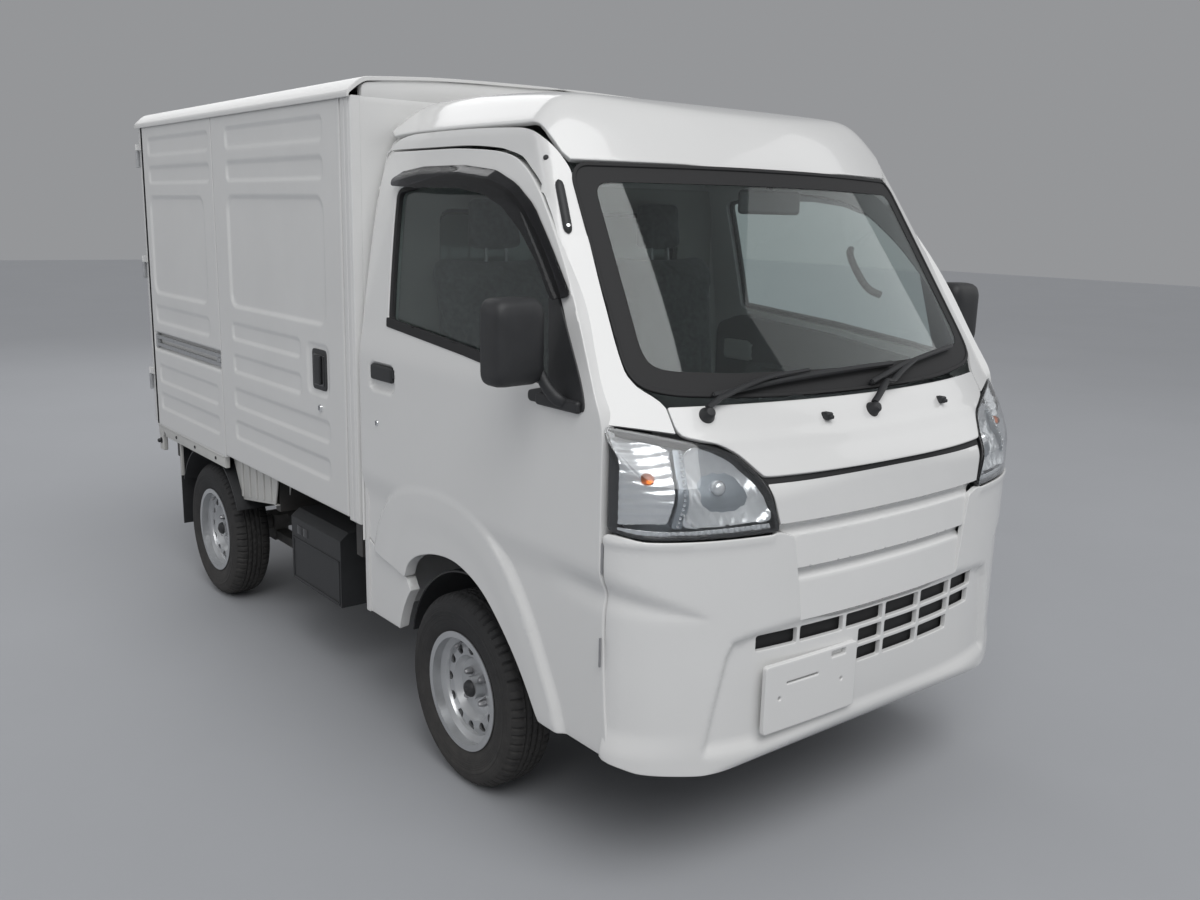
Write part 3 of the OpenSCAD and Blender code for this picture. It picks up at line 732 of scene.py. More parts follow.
def pressings(beads, soft=9.0):
    """Height over a wall with pressed beads: each bead lowers the wall by its depth inside a
    rounded rectangle, with a smooth shoulder."""
    def height(u, v):
        h = 0 * u
        for u0, u1, v0, v1, r, deep in beads:
            h = h - deep * step(-rounded(u, v, u0, u1, v0, v1, r), -soft, soft)
        return h
    return height


def bead_lines(beads, k, soft=9.0):
    """Grid lines that follow the shoulders of the beads along u (k = 0) or v (k = 2)."""
    marks = [b[k + j] + d for b in beads for j in (0, 1) for d in (-soft, -soft / 2, 0, soft / 2,
                                                                    soft)]
    return np.unique(np.round(marks, 1))


DOOR_BEADS = [(-108, 680, 1750, 1816, 20, 6), (-104, 680, 1639, 1701, 20, 6),
              (-100, 690, 1200, 1584, 46, 7), (100, 690, 1080, 1137, 18, 6),
              (100, 690, 960, 1021, 18, 6), (-108, 696, 832, 896, 20, 6),
              (-104, 700, 712, 774, 20, 6), (-112, 42, 976, 1134, 26, 5)]
FIXED_BEADS = [(858, 1560, 1748, 1812, 20, 6), (858, 1560, 1637, 1699, 20, 6),
               (935, 1572, 1188, 1580, 46, 7), (935, 1572, 1066, 1132, 20, 6),
               (828, 1612, 948, 1016, 3, 22), (870, 1572, 810, 880, 20, 6),
               (870, 1572, 694, 758, 20, 6)]


def side_place(u, v, h):
    """A box side: y and z across the wall, x out from the truck's left side."""
    return HALF + h, u, v


def box_sides():
    """The sliding doors and the fixed rear panels, with their grips, locks and guide rails."""
    door = Piece().add(*slab(-227, SPLIT, 622, 1862, side_place, height=pressings(DOOR_BEADS),
                             us=bead_lines(DOOR_BEADS, 0), vs=bead_lines(DOOR_BEADS, 2)))
    fixed = Piece().add(*slab(SPLIT + 5, 1648, 612, 1864, side_place,
                              height=pressings(FIXED_BEADS), us=bead_lines(FIXED_BEADS, 0),
                              vs=bead_lines(FIXED_BEADS, 2)))
    grips = Piece()
    frame_ring = arcs([(-92, 992), (8, 992), (8, 1120), (-92, 1120)], 16)
    grips.add(*prism(frame_ring, lambda u, v, h: side_place(u, v, h - 6), 0, 5, 1.2))
    grips.add(*prism(arcs([(-80, 1006), (-4, 1006), (-4, 1106), (-80, 1106)], 10),
                     lambda u, v, h: side_place(u, v, h - 5), 3, 5.5, 0.8), mat=1)
    grips.add(*block((HALF - 1, -62, 1010), (HALF + 9, -22, 1102), 4), mat=0)
    grips.add(*spin([(0, 8), (8, 8), (10.5, 7), (11.5, 4), (11.5, -2)], (HALF - 0.5, -51, 936),
                    (1, 0, 0), 28), mat=2)
    grips.add(*block((HALF + 6.5, -53, 929), (HALF + 8.6, -49, 943), 0.6), mat=1)
    rails = Piece()
    for z in (966, 998):
        rails.add(*block((HALF - 18, 832, z - 7), (HALF - 4, 1606, z + 7), 2.5))
    rails.add(*block((HALF - 20, 1596, 952), (HALF - 2, 1610, 1012), 3))
    rails.add(*block((HALF - 16, 840, 974), (HALF - 1, 872, 990), 3))
    for s, side in ((1, "left"), (-1, "right")):
        build(f"sliding_door_{side}", door.side(s), [PANEL_PAINT], "truck",
              hide=["side_doors"] if s > 0 else ())
        build(f"fixed_panel_{side}", fixed.side(s), [PANEL_PAINT], "truck",
              hide=["side_panels"] if s > 0 else ())
        build(f"door_grip_{side}", grips.side(s), [BLACK_TRIM, GLOSS_BLACK, CHROME], "truck")
        build(f"door_guide_{side}", rails.side(s), [GALVANISED], "truck")


def box_shell():
    """Front wall with pressed panels, front corner posts with two grooves, and the roof: one
    profile, arched across the truck and rolled under at its gutters, carried along y."""
    wall_beads = [(-560, 560, 1778, 1812, 17, -6), (-640, 640, 720, 1100, 40, 5),
                  (-640, 640, 1180, 1560, 40, 5)]
    wall = Piece().add(*slab(-707.5, 707.5, 613, 1864, lambda u, v, h: (u, BOX_FRONT - h, v),
                             gap=16, height=pressings(wall_beads), us=bead_lines(wall_beads, 0),
                             vs=bead_lines(wall_beads, 2)))
    build("box_front_wall", wall, [PANEL_PAINT], "truck", hide=["box_front_wall"])
    posts = Piece()
    groove = [(-288, -284, 600, 1880, 1, 3), (-262, -258, 600, 1880, 1, 3)]
    posts.add(*slab(-299.5, -232, 612, 1864, side_place, gap=2.2,
                    height=pressings(groove, 1.5), r=6))
    posts.add(*block((HALF - 60, -262, 612), (HALF - 31, -234, 1862), 4))
    build("box_front_posts", posts.both(), [PANEL_PAINT], "truck")

    outer = arcs([(0, 1944), (445, 1936), (700, 1917), (728, 1894), (747.5, 1872), (747.5, 1858),
                  (741, 1858), (741, 1868), (716, 1888), (690, 1905), (445, 1926), (0, 1934)],
                 [200, 160, 20, 12, 9, 2, 2, 6, 8, 14, 160, 200], 7)
    outer = np.maximum(outer, [0, 0])
    half_roof = outer[outer[:, 0] > 0.5]
    profile = np.vstack([half_roof, half_roof[::-1] * [-1, 1]])
    ys = [BOX_FRONT - 6, BOX_FRONT - 4.5, BOX_FRONT - 2, *np.linspace(-290, 1680, 24), 1692, 1694.5]
    sections = []
    for k, y in enumerate(ys):
        inset = (1.6, 0.5, 0)[k] if k < 3 else 1.2 if k == len(ys) - 1 else 0
        q = offset(profile[::-1], -inset)[::-1]
        sections.append(np.stack([q[:, 0], np.full(len(q), y), q[:, 1]], -1))
    roof = Piece().add(*loft(sections))
    for y in np.arange(-120, 1600, 290):
        arch = np.array([(x, y, 1925 - 12 * (x / 445) ** 2) for x in np.linspace(-640, 640, 15)])
        roof.add(*tube(arch, 9, 8))
    gable = [(-700, 1862), (700, 1862), (700, 1900), (560, 1920), (0, 1937), (-560, 1920),
             (-700, 1900)]
    gable = arcs(gable, [2, 2, 20, 90, 200, 90, 20], 5)
    roof.add(*prism(gable, lambda u, v, h: (u, BOX_FRONT + h, v), 0.0, 28, 1.5))
    roof.add(*prism(gable, lambda u, v, h: (u, 1600 + h, v), 0, 45, 1.5))
    build("box_roof", roof, [PANEL_PAINT], "truck", hide=["box_roof"])


box_sides()
box_shell()


# ---------------------------------------------------------------- cab skin

DOOR_EDGE = [(-325, 590), (-325, 1690), (-350, 1712), (-710, 1712), (-911, 1701), (-1008, 1679),
             (-1112, 1613), (-1226, 1488), (-1314, 1368), (-1398, 1221), (-1466, 1115),
             (-1466, 655), (-1476, 485), (-1493, 340), (-1242, 340), (-1163, 447), (-1073, 536),
             (-980, 609), (-857, 647), (-745, 638), (-641, 604), (-594, 566), (-576, 523),
             (-400, 556)]
DOOR_ROUND = [18, 20, 20, 60, 90, 70, 90, 90, 90, 80, 40, 60, 60, 2, 2, 60, 60, 60, 60, 60, 50, 20,
              8, 40]
WINDOW = [(-429, 1609), (-475, 1240), (-880, 1208), (-1382, 1150), (-1262, 1372), (-1154, 1491),
          (-1025, 1593), (-915, 1629), (-685, 1651)]
WINDOW_ROUND = [30, 22, 60, 12, 60, 60, 60, 60, 60]
SCREEN = [(-150, 1152), (150, 1152), (380, 1156), (560, 1166), (622, 1184), (641, 1220),
          (596, 1640), (570, 1668), (150, 1672), (-150, 1672), (-570, 1668), (-596, 1640),
          (-641, 1220), (-622, 1184), (-560, 1166), (-380, 1156)]
SCREEN_ROUND = [60, 60, 90, 50, 24, 40, 22, 22, 90, 90, 22, 22, 40, 24, 50, 90]
FLARE = [(-372, 470), (-378, 560), (-412, 660), (-470, 735), (-550, 785), (-660, 808), (-782, 819),
         (-900, 806), (-1000, 775), (-1095, 713), (-1160, 645), (-1215, 570), (-1262, 490),
         (-1305, 420), (-1340, 330), (-1340, 200), (-372, 200)]


def swage_fall(y, z):
    """How far the lower door stands in: 13 mm under a sloping band at z 700 to 798, brought
    back flush inside the wheel arch's flare, with a 26 mm shoulder at its outline. A groove
    10 mm deep at z 728 fades out behind the door's front edge."""
    d, inside = path_distance(np.stack([y.ravel(), z.ravel()], -1), arcs(FLARE, 40, 4))
    d = np.where(inside, d, -d).reshape(y.shape)
    arch = step(d, -6, 20)
    low = -13 * (1 - step(z, 700, 798))
    low = low - 10 * np.exp(-((z - 728) / 26) ** 2) * (1 - step(y, -1420, -1230))
    return low * (1 - arch) + 3 * arch * (1 - step(d, 60, 130))


def raised(base, height, inward):
    """A chart moved along its own outward normal by a height that depends on (u, v)."""
    def fn(u, v):
        e = 0.5
        p = np.stack(base(u, v), -1)
        pu = np.stack(base(u + e, v), -1) - np.stack(base(u - e, v), -1)
        pv = np.stack(base(u, v + e), -1) - np.stack(base(u, v - e), -1)
        n = np.cross(pu, pv)
        n /= np.linalg.norm(n, axis=-1, keepdims=True)
        p = p - n * inward * height(u, v)[..., None]
        return p[..., 0], p[..., 1], p[..., 2]
    return Chart(fn, inward)


def side_base(y, z):
    """The cab side: x from the side profile at height z, with y and z kept."""
    return side_x(z), y, z


def front_base(x, z):
    """The cab front: y from the front surface at (x, z), with x and z kept."""
    return x, front_y(x, z), z


SIDE = Chart(side_base, -1)
FACE = Chart(front_base, -1)
ROOF = Chart(lambda x, y: (x, y, roof_z(x, y)), -1)


def flip(points):
    """The outline of one half, joined to its mirror image."""
    p = np.array(points, float)
    return np.vstack([p, p[::-1] * [-1, 1]])


def skin_gap(p):
    """How far a point is outside the whole rounded cab: the largest of its distances past the
    side, the front, the roof and the back, with their crossings rounded."""
    x, y, z = np.abs(p[..., 0]), p[..., 1], p[..., 2]
    gap = smax(x - side_x(z), (front_y(x, z) - y) * 0.83, 26)
    gap = smax(gap, (z - roof_z(x, np.clip(y, -1235, CAB_BACK))) * 0.9, 12)
    return smax(gap, y - CAB_BACK, 16)


def onto_skin(p, by=0.0):
    """Points walked onto the rounded cab along the gap's own slope, until by away from it."""
    for _ in range(7):
        g = skin_gap(p)
        slope = np.stack([(skin_gap(p + d) - g) / 0.5 for d in np.eye(3) * 0.5], -1)
        slope /= np.maximum((slope ** 2).sum(-1, keepdims=True), 0.2)
        p = p - (g - by)[..., None] * slope
    return p


def pillar_strip():
    """The stamped side of the cab: from the lamp up the windscreen pillar, back over the door
    and down behind it. Each row joins the door seam to the glass or roof seam across the
    rounded skin."""
    door = [(-1471, 1122), (-1457, 1144), (-1445, 1162), (-1431, 1184), (-1404, 1226),
            (-1319, 1373), (-1230, 1494), (-1165, 1568), (-1117, 1619), (-1064, 1655),
            (-1012, 1685), (-955, 1699), (-911, 1707), (-710, 1718), (-480, 1718), (-400, 1718),
            (-347, 1717), (-324, 1704), (-319, 1690), (-319, 1600), (-319, 1400), (-319, 1000),
            (-319, 570)]
    seam = [(584, 1088), (584, 1138), (603, 1162), (630, 1184), (644, 1218), (632, 1360),
            (614, 1500), (602, 1600), (595, 1652)]
    far = [(s[0], front_y(np.array(s[0]), np.array(s[1])), s[1]) for s in seam]
    far += [(603, -1118, 1685), (617, -1082, 1716), (623, -1035, 1742), (624, -975, 1752),
            (623, -700, 1760), (624, -480, 1758), (627, -400, 1748), (633, -345, 1722),
            (634, -316, 1704), (632, -311, 1690), (650, -311, 1600), (686, -311, 1400),
            (720, -311, 1000), (724, -311, 570)]
    near = [(side_x(np.array(q[1])), q[0], q[1]) for q in door]
    near, far = np.array(near, float), np.array(far, float)
    mid = (near + far) / 2
    d = np.r_[0, np.cumsum(np.linalg.norm(np.diff(mid, axis=0), axis=1))]
    t = np.unique(np.r_[d, np.linspace(0, d[-1], 180)])
    curve = [np.stack([smooth(np.stack([d, c[:, k]], -1))(t) for k in range(3)], -1)
             for c in (near, far)]
    w = np.linspace(0, 1, 15)[None, :, None]
    return onto_skin(curve[0][:, None] * (1 - w) + curve[1][:, None] * w)


def sheet_solid(points, depth):
    """A grid of points given a wall: each row out along the surface and back along a copy moved
    in by the depth, against the cross product of the grid's two slopes."""
    pu, pv = np.gradient(points, axis=0), np.gradient(points, axis=1)
    n = np.cross(pu, pv)
    n /= np.maximum(np.linalg.norm(n, axis=-1, keepdims=True), 1e-9)
    inner = points + n * depth
    return loft(np.concatenate([points, inner[:, ::-1]], axis=1))


def cab_side():
    """The fixed side panels: the door aperture, pillar and rear quarter, on the side surface."""
    strip = pillar_strip()
    n = np.cross(strip[1, 0] - strip[0, 0], strip[0, 1] - strip[0, 0])
    p = Piece().add(*sheet_solid(strip, -6 if n[0] > 0 else 6))
    a = np.linspace(np.radians(40), np.radians(13), 9)
    arch = np.stack([AXLE_F + 336 * np.cos(a), AXLE_Z + 336 * np.sin(a)], -1)
    sill = [(-314, 346), (-314, 582), (-329, 582), (-400, 549), (-566, 517), *arch, (-518, 346)]
    fall = raised(side_base, lambda y, z: -13 + 0 * y, -1)
    p.add(*panel(fall, arcs(sill, [4, 4, 4, 30, 6] + [3] * len(arch) + [10], 3), gap=16,
                 depth=30))
    build("cab_side_skin", p.both(), [PAINT], "truck", hide=["cab_shell"])

    zs = np.r_[346, np.linspace(420, 1700, 20)]
    edge = np.stack([side_x(zs) - 9, zs], -1)
    top = [(615, 1736), (588, 1762), (540, 1776), (300, 1780)]
    back = Chart(lambda x, z: (x, 0 * x + CAB_BACK + 0.6, z), 1)
    ribs = [(-600, 600, 640, 690, 22, -5), (-600, 600, 760, 810, 22, -5),
            (-600, 600, 880, 930, 22, -5), (-600, 600, 1000, 1050, 22, -5)]
    rib_rise = pressings(ribs)
    back = raised(lambda x, z: (x, 0 * x + CAB_BACK - 5, z), rib_rise, 1)
    p = Piece().add(*panel(back, np.vstack([edge, top, np.array(top)[::-1] * [-1, 1],
                                           edge[::-1] * [-1, 1]]),
                           [arcs([(-480, 1180), (480, 1180), (480, 1560), (-480, 1560)], 45)],
                           gap=20, depth=24))
    build("cab_back_wall", p, [PAINT], "truck")
    p = Piece()
    hole = arcs([(-486, 1174), (486, 1174), (486, 1566), (-486, 1566)], 50)
    inner = arcs([(-462, 1198), (462, 1198), (462, 1542), (-462, 1542)], 34)
    p.add(*panel(Chart(lambda x, z: (x, 0 * x + CAB_BACK - 1, z), 1), hole, [inner], gap=14,
                 depth=12, edge=3))
    build("back_window_seal", p, [RUBBER], "truck")
    p = Piece().add(*panel(Chart(lambda x, z: (x, 0 * x + CAB_BACK - 5, z), 1),
                           arcs([(-470, 1190), (470, 1190), (470, 1550), (-470, 1550)], 38),
                           gap=60, depth=5, edge=0.6))
    build("back_window", p, [TINTED], "truck")


def cab_roof():
    """The high roof cap, down to the windscreen and the seam over the doors."""
    x = np.linspace(0, 586, 16)
    front = np.stack([x, screen_y(x, 1677.0)], -1)
    side = [(600, -1118), (614, -1082), (620, -1035), (621, -975), (620, -700), (621, -480),
            (623, -400), (625, -350), (616, -318), (560, -314)]
    half_edge = np.vstack([front[1:], side])
    p = Piece().add(*panel(ROOF, flip(half_edge), gap=17, depth=14, edge=2.2))
    build("cab_roof_cap", p, [PAINT], "truck", hide=["cab_roof"])
    p = Piece().add(*panel(ROOF, flip(half_edge * 0.97 + [0, -30]), gap=34, depth=4,
                           lift_by=22))
    build("cab_headlining", p, [PALE_TRIM], "truck")


def windscreen():
    """Laminated pane with its black printed border, and the seal round it."""
    edge = arcs(SCREEN, SCREEN_ROUND, 7)
    p = Piece().add(*panel(FACE, offset(edge, -2), gap=26, depth=5, lift_by=4, edge=1))
    build("windscreen", p, [TINTED], "truck", hide=["cab_glass"])
    inner = [(-380, 1205), (0, 1202), (380, 1205), (540, 1214), (580, 1226), (590, 1256),
             (552, 1608), (530, 1628), (150, 1632)]
    inner = np.array(inner)
    inner = np.vstack([inner[2:], (inner[2:] * [-1, 1])[::-1], [[0, 1202]]])
    inner = arcs(inner, 20, 5)
    p = Piece().add(*panel(FACE, offset(edge, -2.5), [inner], gap=15, depth=1.2, lift_by=2.6,
                           edge=0.3))
    build("windscreen_border", p, [RUBBER], "truck")
    p = Piece().add(*panel(FACE, offset(edge, 3.5), [offset(edge, -5)], gap=12, depth=7,
                           lift_by=-1.2, edge=2))
    build("windscreen_seal", p, [RUBBER], "truck")


def hood():
    """The bolted front panel between the lamps: rolled crease across it and a dark seal under
    its lower edge."""
    edge = [(412, 992), (419, 997), (460, 1045), (503, 1065), (579, 1083), (580, 1141)]
    crease = raised(front_base, lambda x, z: 3 * np.exp(-((z - 1066) / 9) ** 2), -1)
    p = Piece().add(*panel(crease, arcs(flip(edge), [30, 12, 20, 40, 20, 6, 6, 20, 40, 20, 12, 30],
                                        4), gap=13, depth=9, edge=2.2))
    build("hood_panel", p, [PAINT], "truck", hide=["hood"])
    lip = [(330, 978), (408, 979), (419, 995), (455, 1040), (440, 1046), (400, 1006), (0, 1006)]
    p = Piece().add(*panel(FACE, flip(lip[:-1]), gap=12, depth=8, lift_by=9))
    build("hood_seal", p, [RUBBER], "truck")
    p = Piece()
    for x, z in ((-182, 1100), (285, 1097)):
        y = front_y(np.array(float(x)), np.array(float(z)))
        p.add(*block((x - 11, y - 14, z - 6), (x + 11, y + 10, z + 12), 5))
        p.add(*block((x - 7, y - 20, z - 3), (x + 7, y - 8, z + 6), 3))
    build("washer_nozzles", p, [BLACK_TRIM], "truck")


BUMPER = [(733.5, 338), (690, 322), (560, 308), (300, 304), (-300, 304), (-560, 308), (-690, 322),
          (-733.5, 338), (-733.5, 876), (-690, 866.5), (-380, 864.5), (-341, 852), (-322, 752),
          (-305, 640), (-180, 626), (180, 626), (305, 640), (322, 752), (341, 852), (380, 864.5),
          (690, 866.5), (733.5, 876)]
CELLS = [(-425, -303, 584, 622), (-293, -150, 584, 622), (-138, 0, 584, 622), (12, 150, 584, 622),
         (162, 300, 584, 622), (312, 425, 584, 622), (12, 150, 536, 574), (162, 300, 536, 574),
         (312, 415, 536, 574), (-90, 0, 536, 574), (12, 150, 488, 526), (162, 300, 488, 526),
         (-90, 0, 488, 526)]


def bumper_rise(x, z):
    """Facets of the bumper: the swage band narrows from z 702-798 at the door to a point at
    x 544, and the middle stands in 14 mm inside a sloping boundary. A groove 10 mm deep
    follows the band."""
    ax = np.abs(x)
    w = np.clip((ax - 544) / 190, 0, 1)
    top, low = 682 + 116 * w, 682 + 18 * w
    band = -13 * w * (1 - step(z, low - 4, np.maximum(top, low + 8)))
    band = band - 10 * w * np.exp(-((z - low - 0.3 * (top - low)) / (4 + 22 * w)) ** 2)
    band = band * step(z, 350, 420)
    edge = np.array([(565, 300), (534, 466), (506, 587), (490, 618), (430, 629), (300, 640),
                     (-300, 640), (-430, 629), (-490, 618), (-506, 587), (-534, 466), (-565, 300)])
    d, inside = path_distance(np.stack([x.ravel(), z.ravel()], -1), edge)
    d = np.where(inside, d, -d).reshape(x.shape)
    middle = -14 * step(d, -11, 13) * step(z, 345, 380)
    lip = 5 * np.exp(-((z - 858) / 10) ** 2) * (ax > 400)
    return band + middle + lip


def bumper():
    """The bumper skin with its cut cells, its plate panel and the dark sheet behind them."""
    chart = raised(front_base, bumper_rise, -1)
    u, v = np.meshgrid(np.r_[np.arange(690, 733, 4.0), -np.arange(690, 733, 4.0)],
                       np.arange(345, 870, 12.0))
    extra = [np.stack([u.ravel(), v.ravel()], -1)]
    path = resample(np.array([(565, 330), (534, 466), (506, 587), (490, 618), (430, 629)]), 7)
    for d in (-11, -4, 4, 13):
        q = path + [d, 0]
        extra += [q, q * [-1, 1]]
    for z in (684, 696, 700, 740, 770, 798):
        q = np.stack([np.arange(560, 730, 8.0), np.full(22, float(z))], -1)
        extra += [q, q * [-1, 1]]
    cells = [arcs([(a, c), (b, c), (b, d), (a, d)], 5, 3) for a, b, c, d in CELLS]
    p = Piece().add(*panel(chart, arcs(BUMPER, 8, 3), cells, gap=12, depth=13, edge=2.0,
                           extra=np.vstack(extra)))
    build("bumper_skin", p, [BUMPER_WHITE], "truck", hide=["front_bumper"])
    p = Piece()
    plate = arcs([(-414, 384), (-104, 384), (-104, 552), (-414, 552)], 10)
    slots = [arcs([(-197, 528), (-146, 528), (-146, 543), (-197, 543)], 3, 3),
             arcs([(-345, 497), (-240, 497), (-240, 502), (-345, 502)], 1, 3)]
    slots += [np.stack([-262 + s * 105 + 4.5 * np.cos(a), 466 + 4.5 * np.sin(a)], -1)
              for s in (-1, 1) for a in [np.linspace(0, 2 * PI, 14)[:-1]]]
    flat = Chart(lambda x, z: (x, -1692 + 0.00007 * x ** 2 + 0 * z, z), -1)
    p.add(*panel(flat, plate, slots, gap=20, depth=12, edge=3))
    build("plate_panel", p, [BUMPER_WHITE], "truck")
    p = Piece()
    back = arcs([(-440, 470), (440, 470), (440, 636), (-440, 636)], 12)
    p.add(*panel(FACE, back, gap=20, depth=5, lift_by=34))
    build("grille_backing", p, [RUBBER], "truck")


def grille_rise(x, z):
    """Three stepped slats: each leans out to its lower lip, then steps back in over 12 mm."""
    lips = ((873, 993), (762, 862), (632, 752))
    h = -21 + 0 * z
    for low, top in lips:
        body = step(z, low - 1, low + 11) * (1 - step(z, top - 13, top + 2))
        h = h + body * (21 - 9 * np.clip((z - low) / (top - low), 0, 1))
    return h


def grille():
    """The stepped slats between the lamps, and the dark strips beside them."""
    chart = raised(front_base, grille_rise, -1)
    edge = [(182, 618), (310, 633), (328, 746), (347, 850), (378, 869), (410, 982), (406, 994)]
    rows = [np.stack([np.arange(-400, 401, 10.0), np.full(81, float(z))], -1)
            for low, top in ((873, 993), (762, 862), (632, 752))
            for z in (low - 1, low + 3, low + 7, low + 11, top - 13, top - 8, top - 3, top + 2)]
    p = Piece().add(*panel(chart, arcs(flip(edge), 7, 3), gap=13, depth=12, edge=2,
                           extra=np.vstack(rows), lift_by=2))
    build("grille_slats", p, [BUMPER_WHITE], "truck", hide=["grille_panel"])
    strip = [(385, 876), (418, 990), (410, 998), (377, 882)]
    p = Piece().add(*panel(FACE, arcs(strip, 3, 3), gap=10, depth=6, lift_by=10))
    build("grille_gap_strips", p.both(), [RUBBER], "truck")


cab_side()
cab_roof()
windscreen()
hood()
bumper()
grille()


# ---------------------------------------------------------------- doors and mirrors

def door_rise(y, z):
    """The lower door's fall, with a rounded finger recess pressed in behind the handle."""
    return swage_fall(y, z) - 13 * step(-rounded(y, z, -532, -388, 1046, 1122, 22), -6, 8)


def cab_doors():
    """Each door is a skin on the side surface with its window cut out, a card inside, seals, a
    pane, black trim, a lock, pins, and a visor 4 mm off the door along its upper line and 23 mm
    off it 30 mm away from that line."""
    edge, window = arcs(DOOR_EDGE, DOOR_ROUND, 6), arcs(WINDOW, WINDOW_ROUND, 6)
    extra = []
    ring = turned(resample(arcs(FLARE, 40, 4), 9))
    for d in (-10, -4, 4, 12, 22):
        extra.append(offset(ring, -d))
    for z in (694, 706, 724, 748, 772, 792, 804):
        extra.append(np.stack([np.arange(-1460, -330, 11.0), np.full(103, float(z))], -1))
    u, v = np.meshgrid(np.arange(-545, -370, 7.0), np.arange(1032, 1140, 6.0))
    extra.append(np.stack([u.ravel(), v.ravel()], -1))
    chart = raised(side_base, door_rise, -1)
    skin = Piece().add(*panel(chart, edge, [window], gap=14, depth=34, edge=2.2,
                              extra=np.vstack(extra)))
    card = [(-350, 700), (-350, 1170), (-475, 1214), (-880, 1184), (-1330, 1120), (-1420, 1060),
            (-1420, 760), (-1180, 740), (-1000, 720), (-700, 700)]
    pocket = [(-1250, -620, 760, 900, 30, 8), (-1150, -520, 985, 1045, 26, -22)]
    inner = raised(lambda y, z: (side_x(z) - 44, y, z), pressings(pocket, 7), 1)
    trim = Piece().add(*panel(inner, arcs(card, 40), gap=15, depth=6, edge=2))
    around = turned(window)
    seal = Piece().add(*panel(SIDE, offset(around, 1.5), [offset(around, -13)], gap=12,
                              depth=16, lift_by=2.5, edge=2))
    belt = [(-466, 1256), (-470, 1230), (-880, 1196), (-1200, 1163), (-1200, 1184), (-880, 1222)]
    seal.add(*panel(SIDE, arcs(belt, 6), gap=14, depth=8, lift_by=-2.5, edge=1.5))
    pane = Piece().add(*panel(SIDE, window, gap=40, depth=4, lift_by=14, edge=0.8))
    sail = [(-1212, 1396), (-1246, 1386), (-1396, 1166), (-1404, 1128), (-1190, 1126),
            (-1186, 1150), (-1262, 1168)]
    black = Piece().add(*panel(SIDE, arcs(sail, [4, 20, 40, 16, 12, 10, 4]), gap=14, depth=9,
                               lift_by=-3.5, edge=2.5))
    x = side_x(np.array(1098.0))
    black.add(*block((x - 12, -520, 1074), (x + 3.5, -396, 1119), 9, 4))
    black.add(*block((x - 8, -528, 1088), (x - 1, -390, 1114), 5, 3))
    lock = Piece()
    x = HALF
    lock.add(*spin([(0, 3), (6.5, 3.2), (8.5, 2.5), (9.5, 0), (9.5, -4)], (x, -427, 948),
                   (1, 0, 0), 24))
    lock.add(*block((x + 2.4, -429, 942), (x + 3.8, -425, 954), 0.6), mat=1)
    band = [(-425, 1612), (-436, 1654), (-558, 1667), (-765, 1667), (-921, 1652), (-1021, 1620),
            (-1111, 1569), (-1202, 1481), (-1304, 1372), (-1256, 1356), (-1178, 1442),
            (-1093, 1510), (-1006, 1560), (-909, 1590), (-788, 1604), (-583, 1606)]
    top = np.array(band[1:9], float)

    def visor_rise(y, z):
        d = path_distance(np.stack([y.ravel(), z.ravel()], -1), top)[0].reshape(y.shape)
        return 4 + 19 * step(d, -2, 30)
    visor = Piece().add(*panel(raised(side_base, visor_rise, -1), arcs(band, 16, 4), gap=9,
                               depth=2.5, edge=0.8))
    barrels = Piece()
    for z in (560, 780):
        barrels.add(*spin([(0, 70), (3, 69), (3, 1), (0, 0)], (732, -1468.8, z), (0, 0, 1), 14))
    for s, side in ((1, "left"), (-1, "right")):
        body = f"cab_door_{side}"
        build(f"door_skin_{side}", skin.side(s), [PAINT], body,
              hide=[f"door_{side}"])
        build(f"door_card_{side}", trim.side(s), [GREY_PLASTIC], body)
        build(f"door_seals_{side}", seal.side(s), [RUBBER], body)
        build(f"door_pane_{side}", pane.side(s), [TINTED], body,
              hide=[f"door_glass_{side}"])
        build(f"door_black_trim_{side}", black.side(s), [BLACK_TRIM], body)
        build(f"door_lock_{side}", lock.side(s), [CHROME, GLOSS_BLACK], body)
        build(f"door_visor_{side}", visor.side(s), [SMOKED], body)
        build(f"door_hinge_pins_{side}", barrels.side(s), [STEEL], body)


def mirrors():
    """Rounded mirror heads on a bent arm: each head is a rounded outline carried back through
    scaled copies about its middle, which round its front shell and hold its face."""
    outline = arcs([(764, 1178), (898, 1175), (900, 1370), (766, 1373)], 34, 7)
    mid = outline.mean(0)
    rings = []
    for size, y in ((0.30, -1336.5), (0.62, -1335), (0.82, -1330), (0.92, -1323), (0.975, -1312),
                    (1, -1296), (1, -1272), (0.99, -1264), (0.965, -1261.5), (0.90, -1262),
                    (0.885, -1264), (0.875, -1269)):
        q = mid + (outline - mid) * size
        rings.append(np.stack([q[:, 0], np.full(len(q), y + 30.0), q[:, 1]], -1))
    head = Piece().add(*loft(rings))
    q = mid + (outline - mid) * 0.872
    face = [np.stack([q[:, 0], np.full(len(q), y), q[:, 1]], -1) for y in (-1242.0, -1235.0)]
    head.add(*loft(face), mat=1)
    head.add(*tube([(738, -1332, 1140), (752, -1330, 1146), (764, -1306, 1168),
                    (772, -1282, 1205), (776, -1270, 1250)], np.linspace(17, 13, 22), 14, 22,
                   0.8))
    head.add(*block((734, -1392, 1124), (752, -1232, 1152), 8, 4))
    for s, side in ((1, "left"), (-1, "right")):
        build(f"mirror_head_{side}", head.side(s), [BLACK_TRIM, MIRROR], f"cab_door_{side}",
              hide=[f"mirror_{side}"])


# ---------------------------------------------------------------- lamps

LAMP = [(383, 867), (425, 996), (463, 1040), (506, 1060), (581, 1078), (660, 1096), (733, 1111),
        (733, 879), (690, 868)]


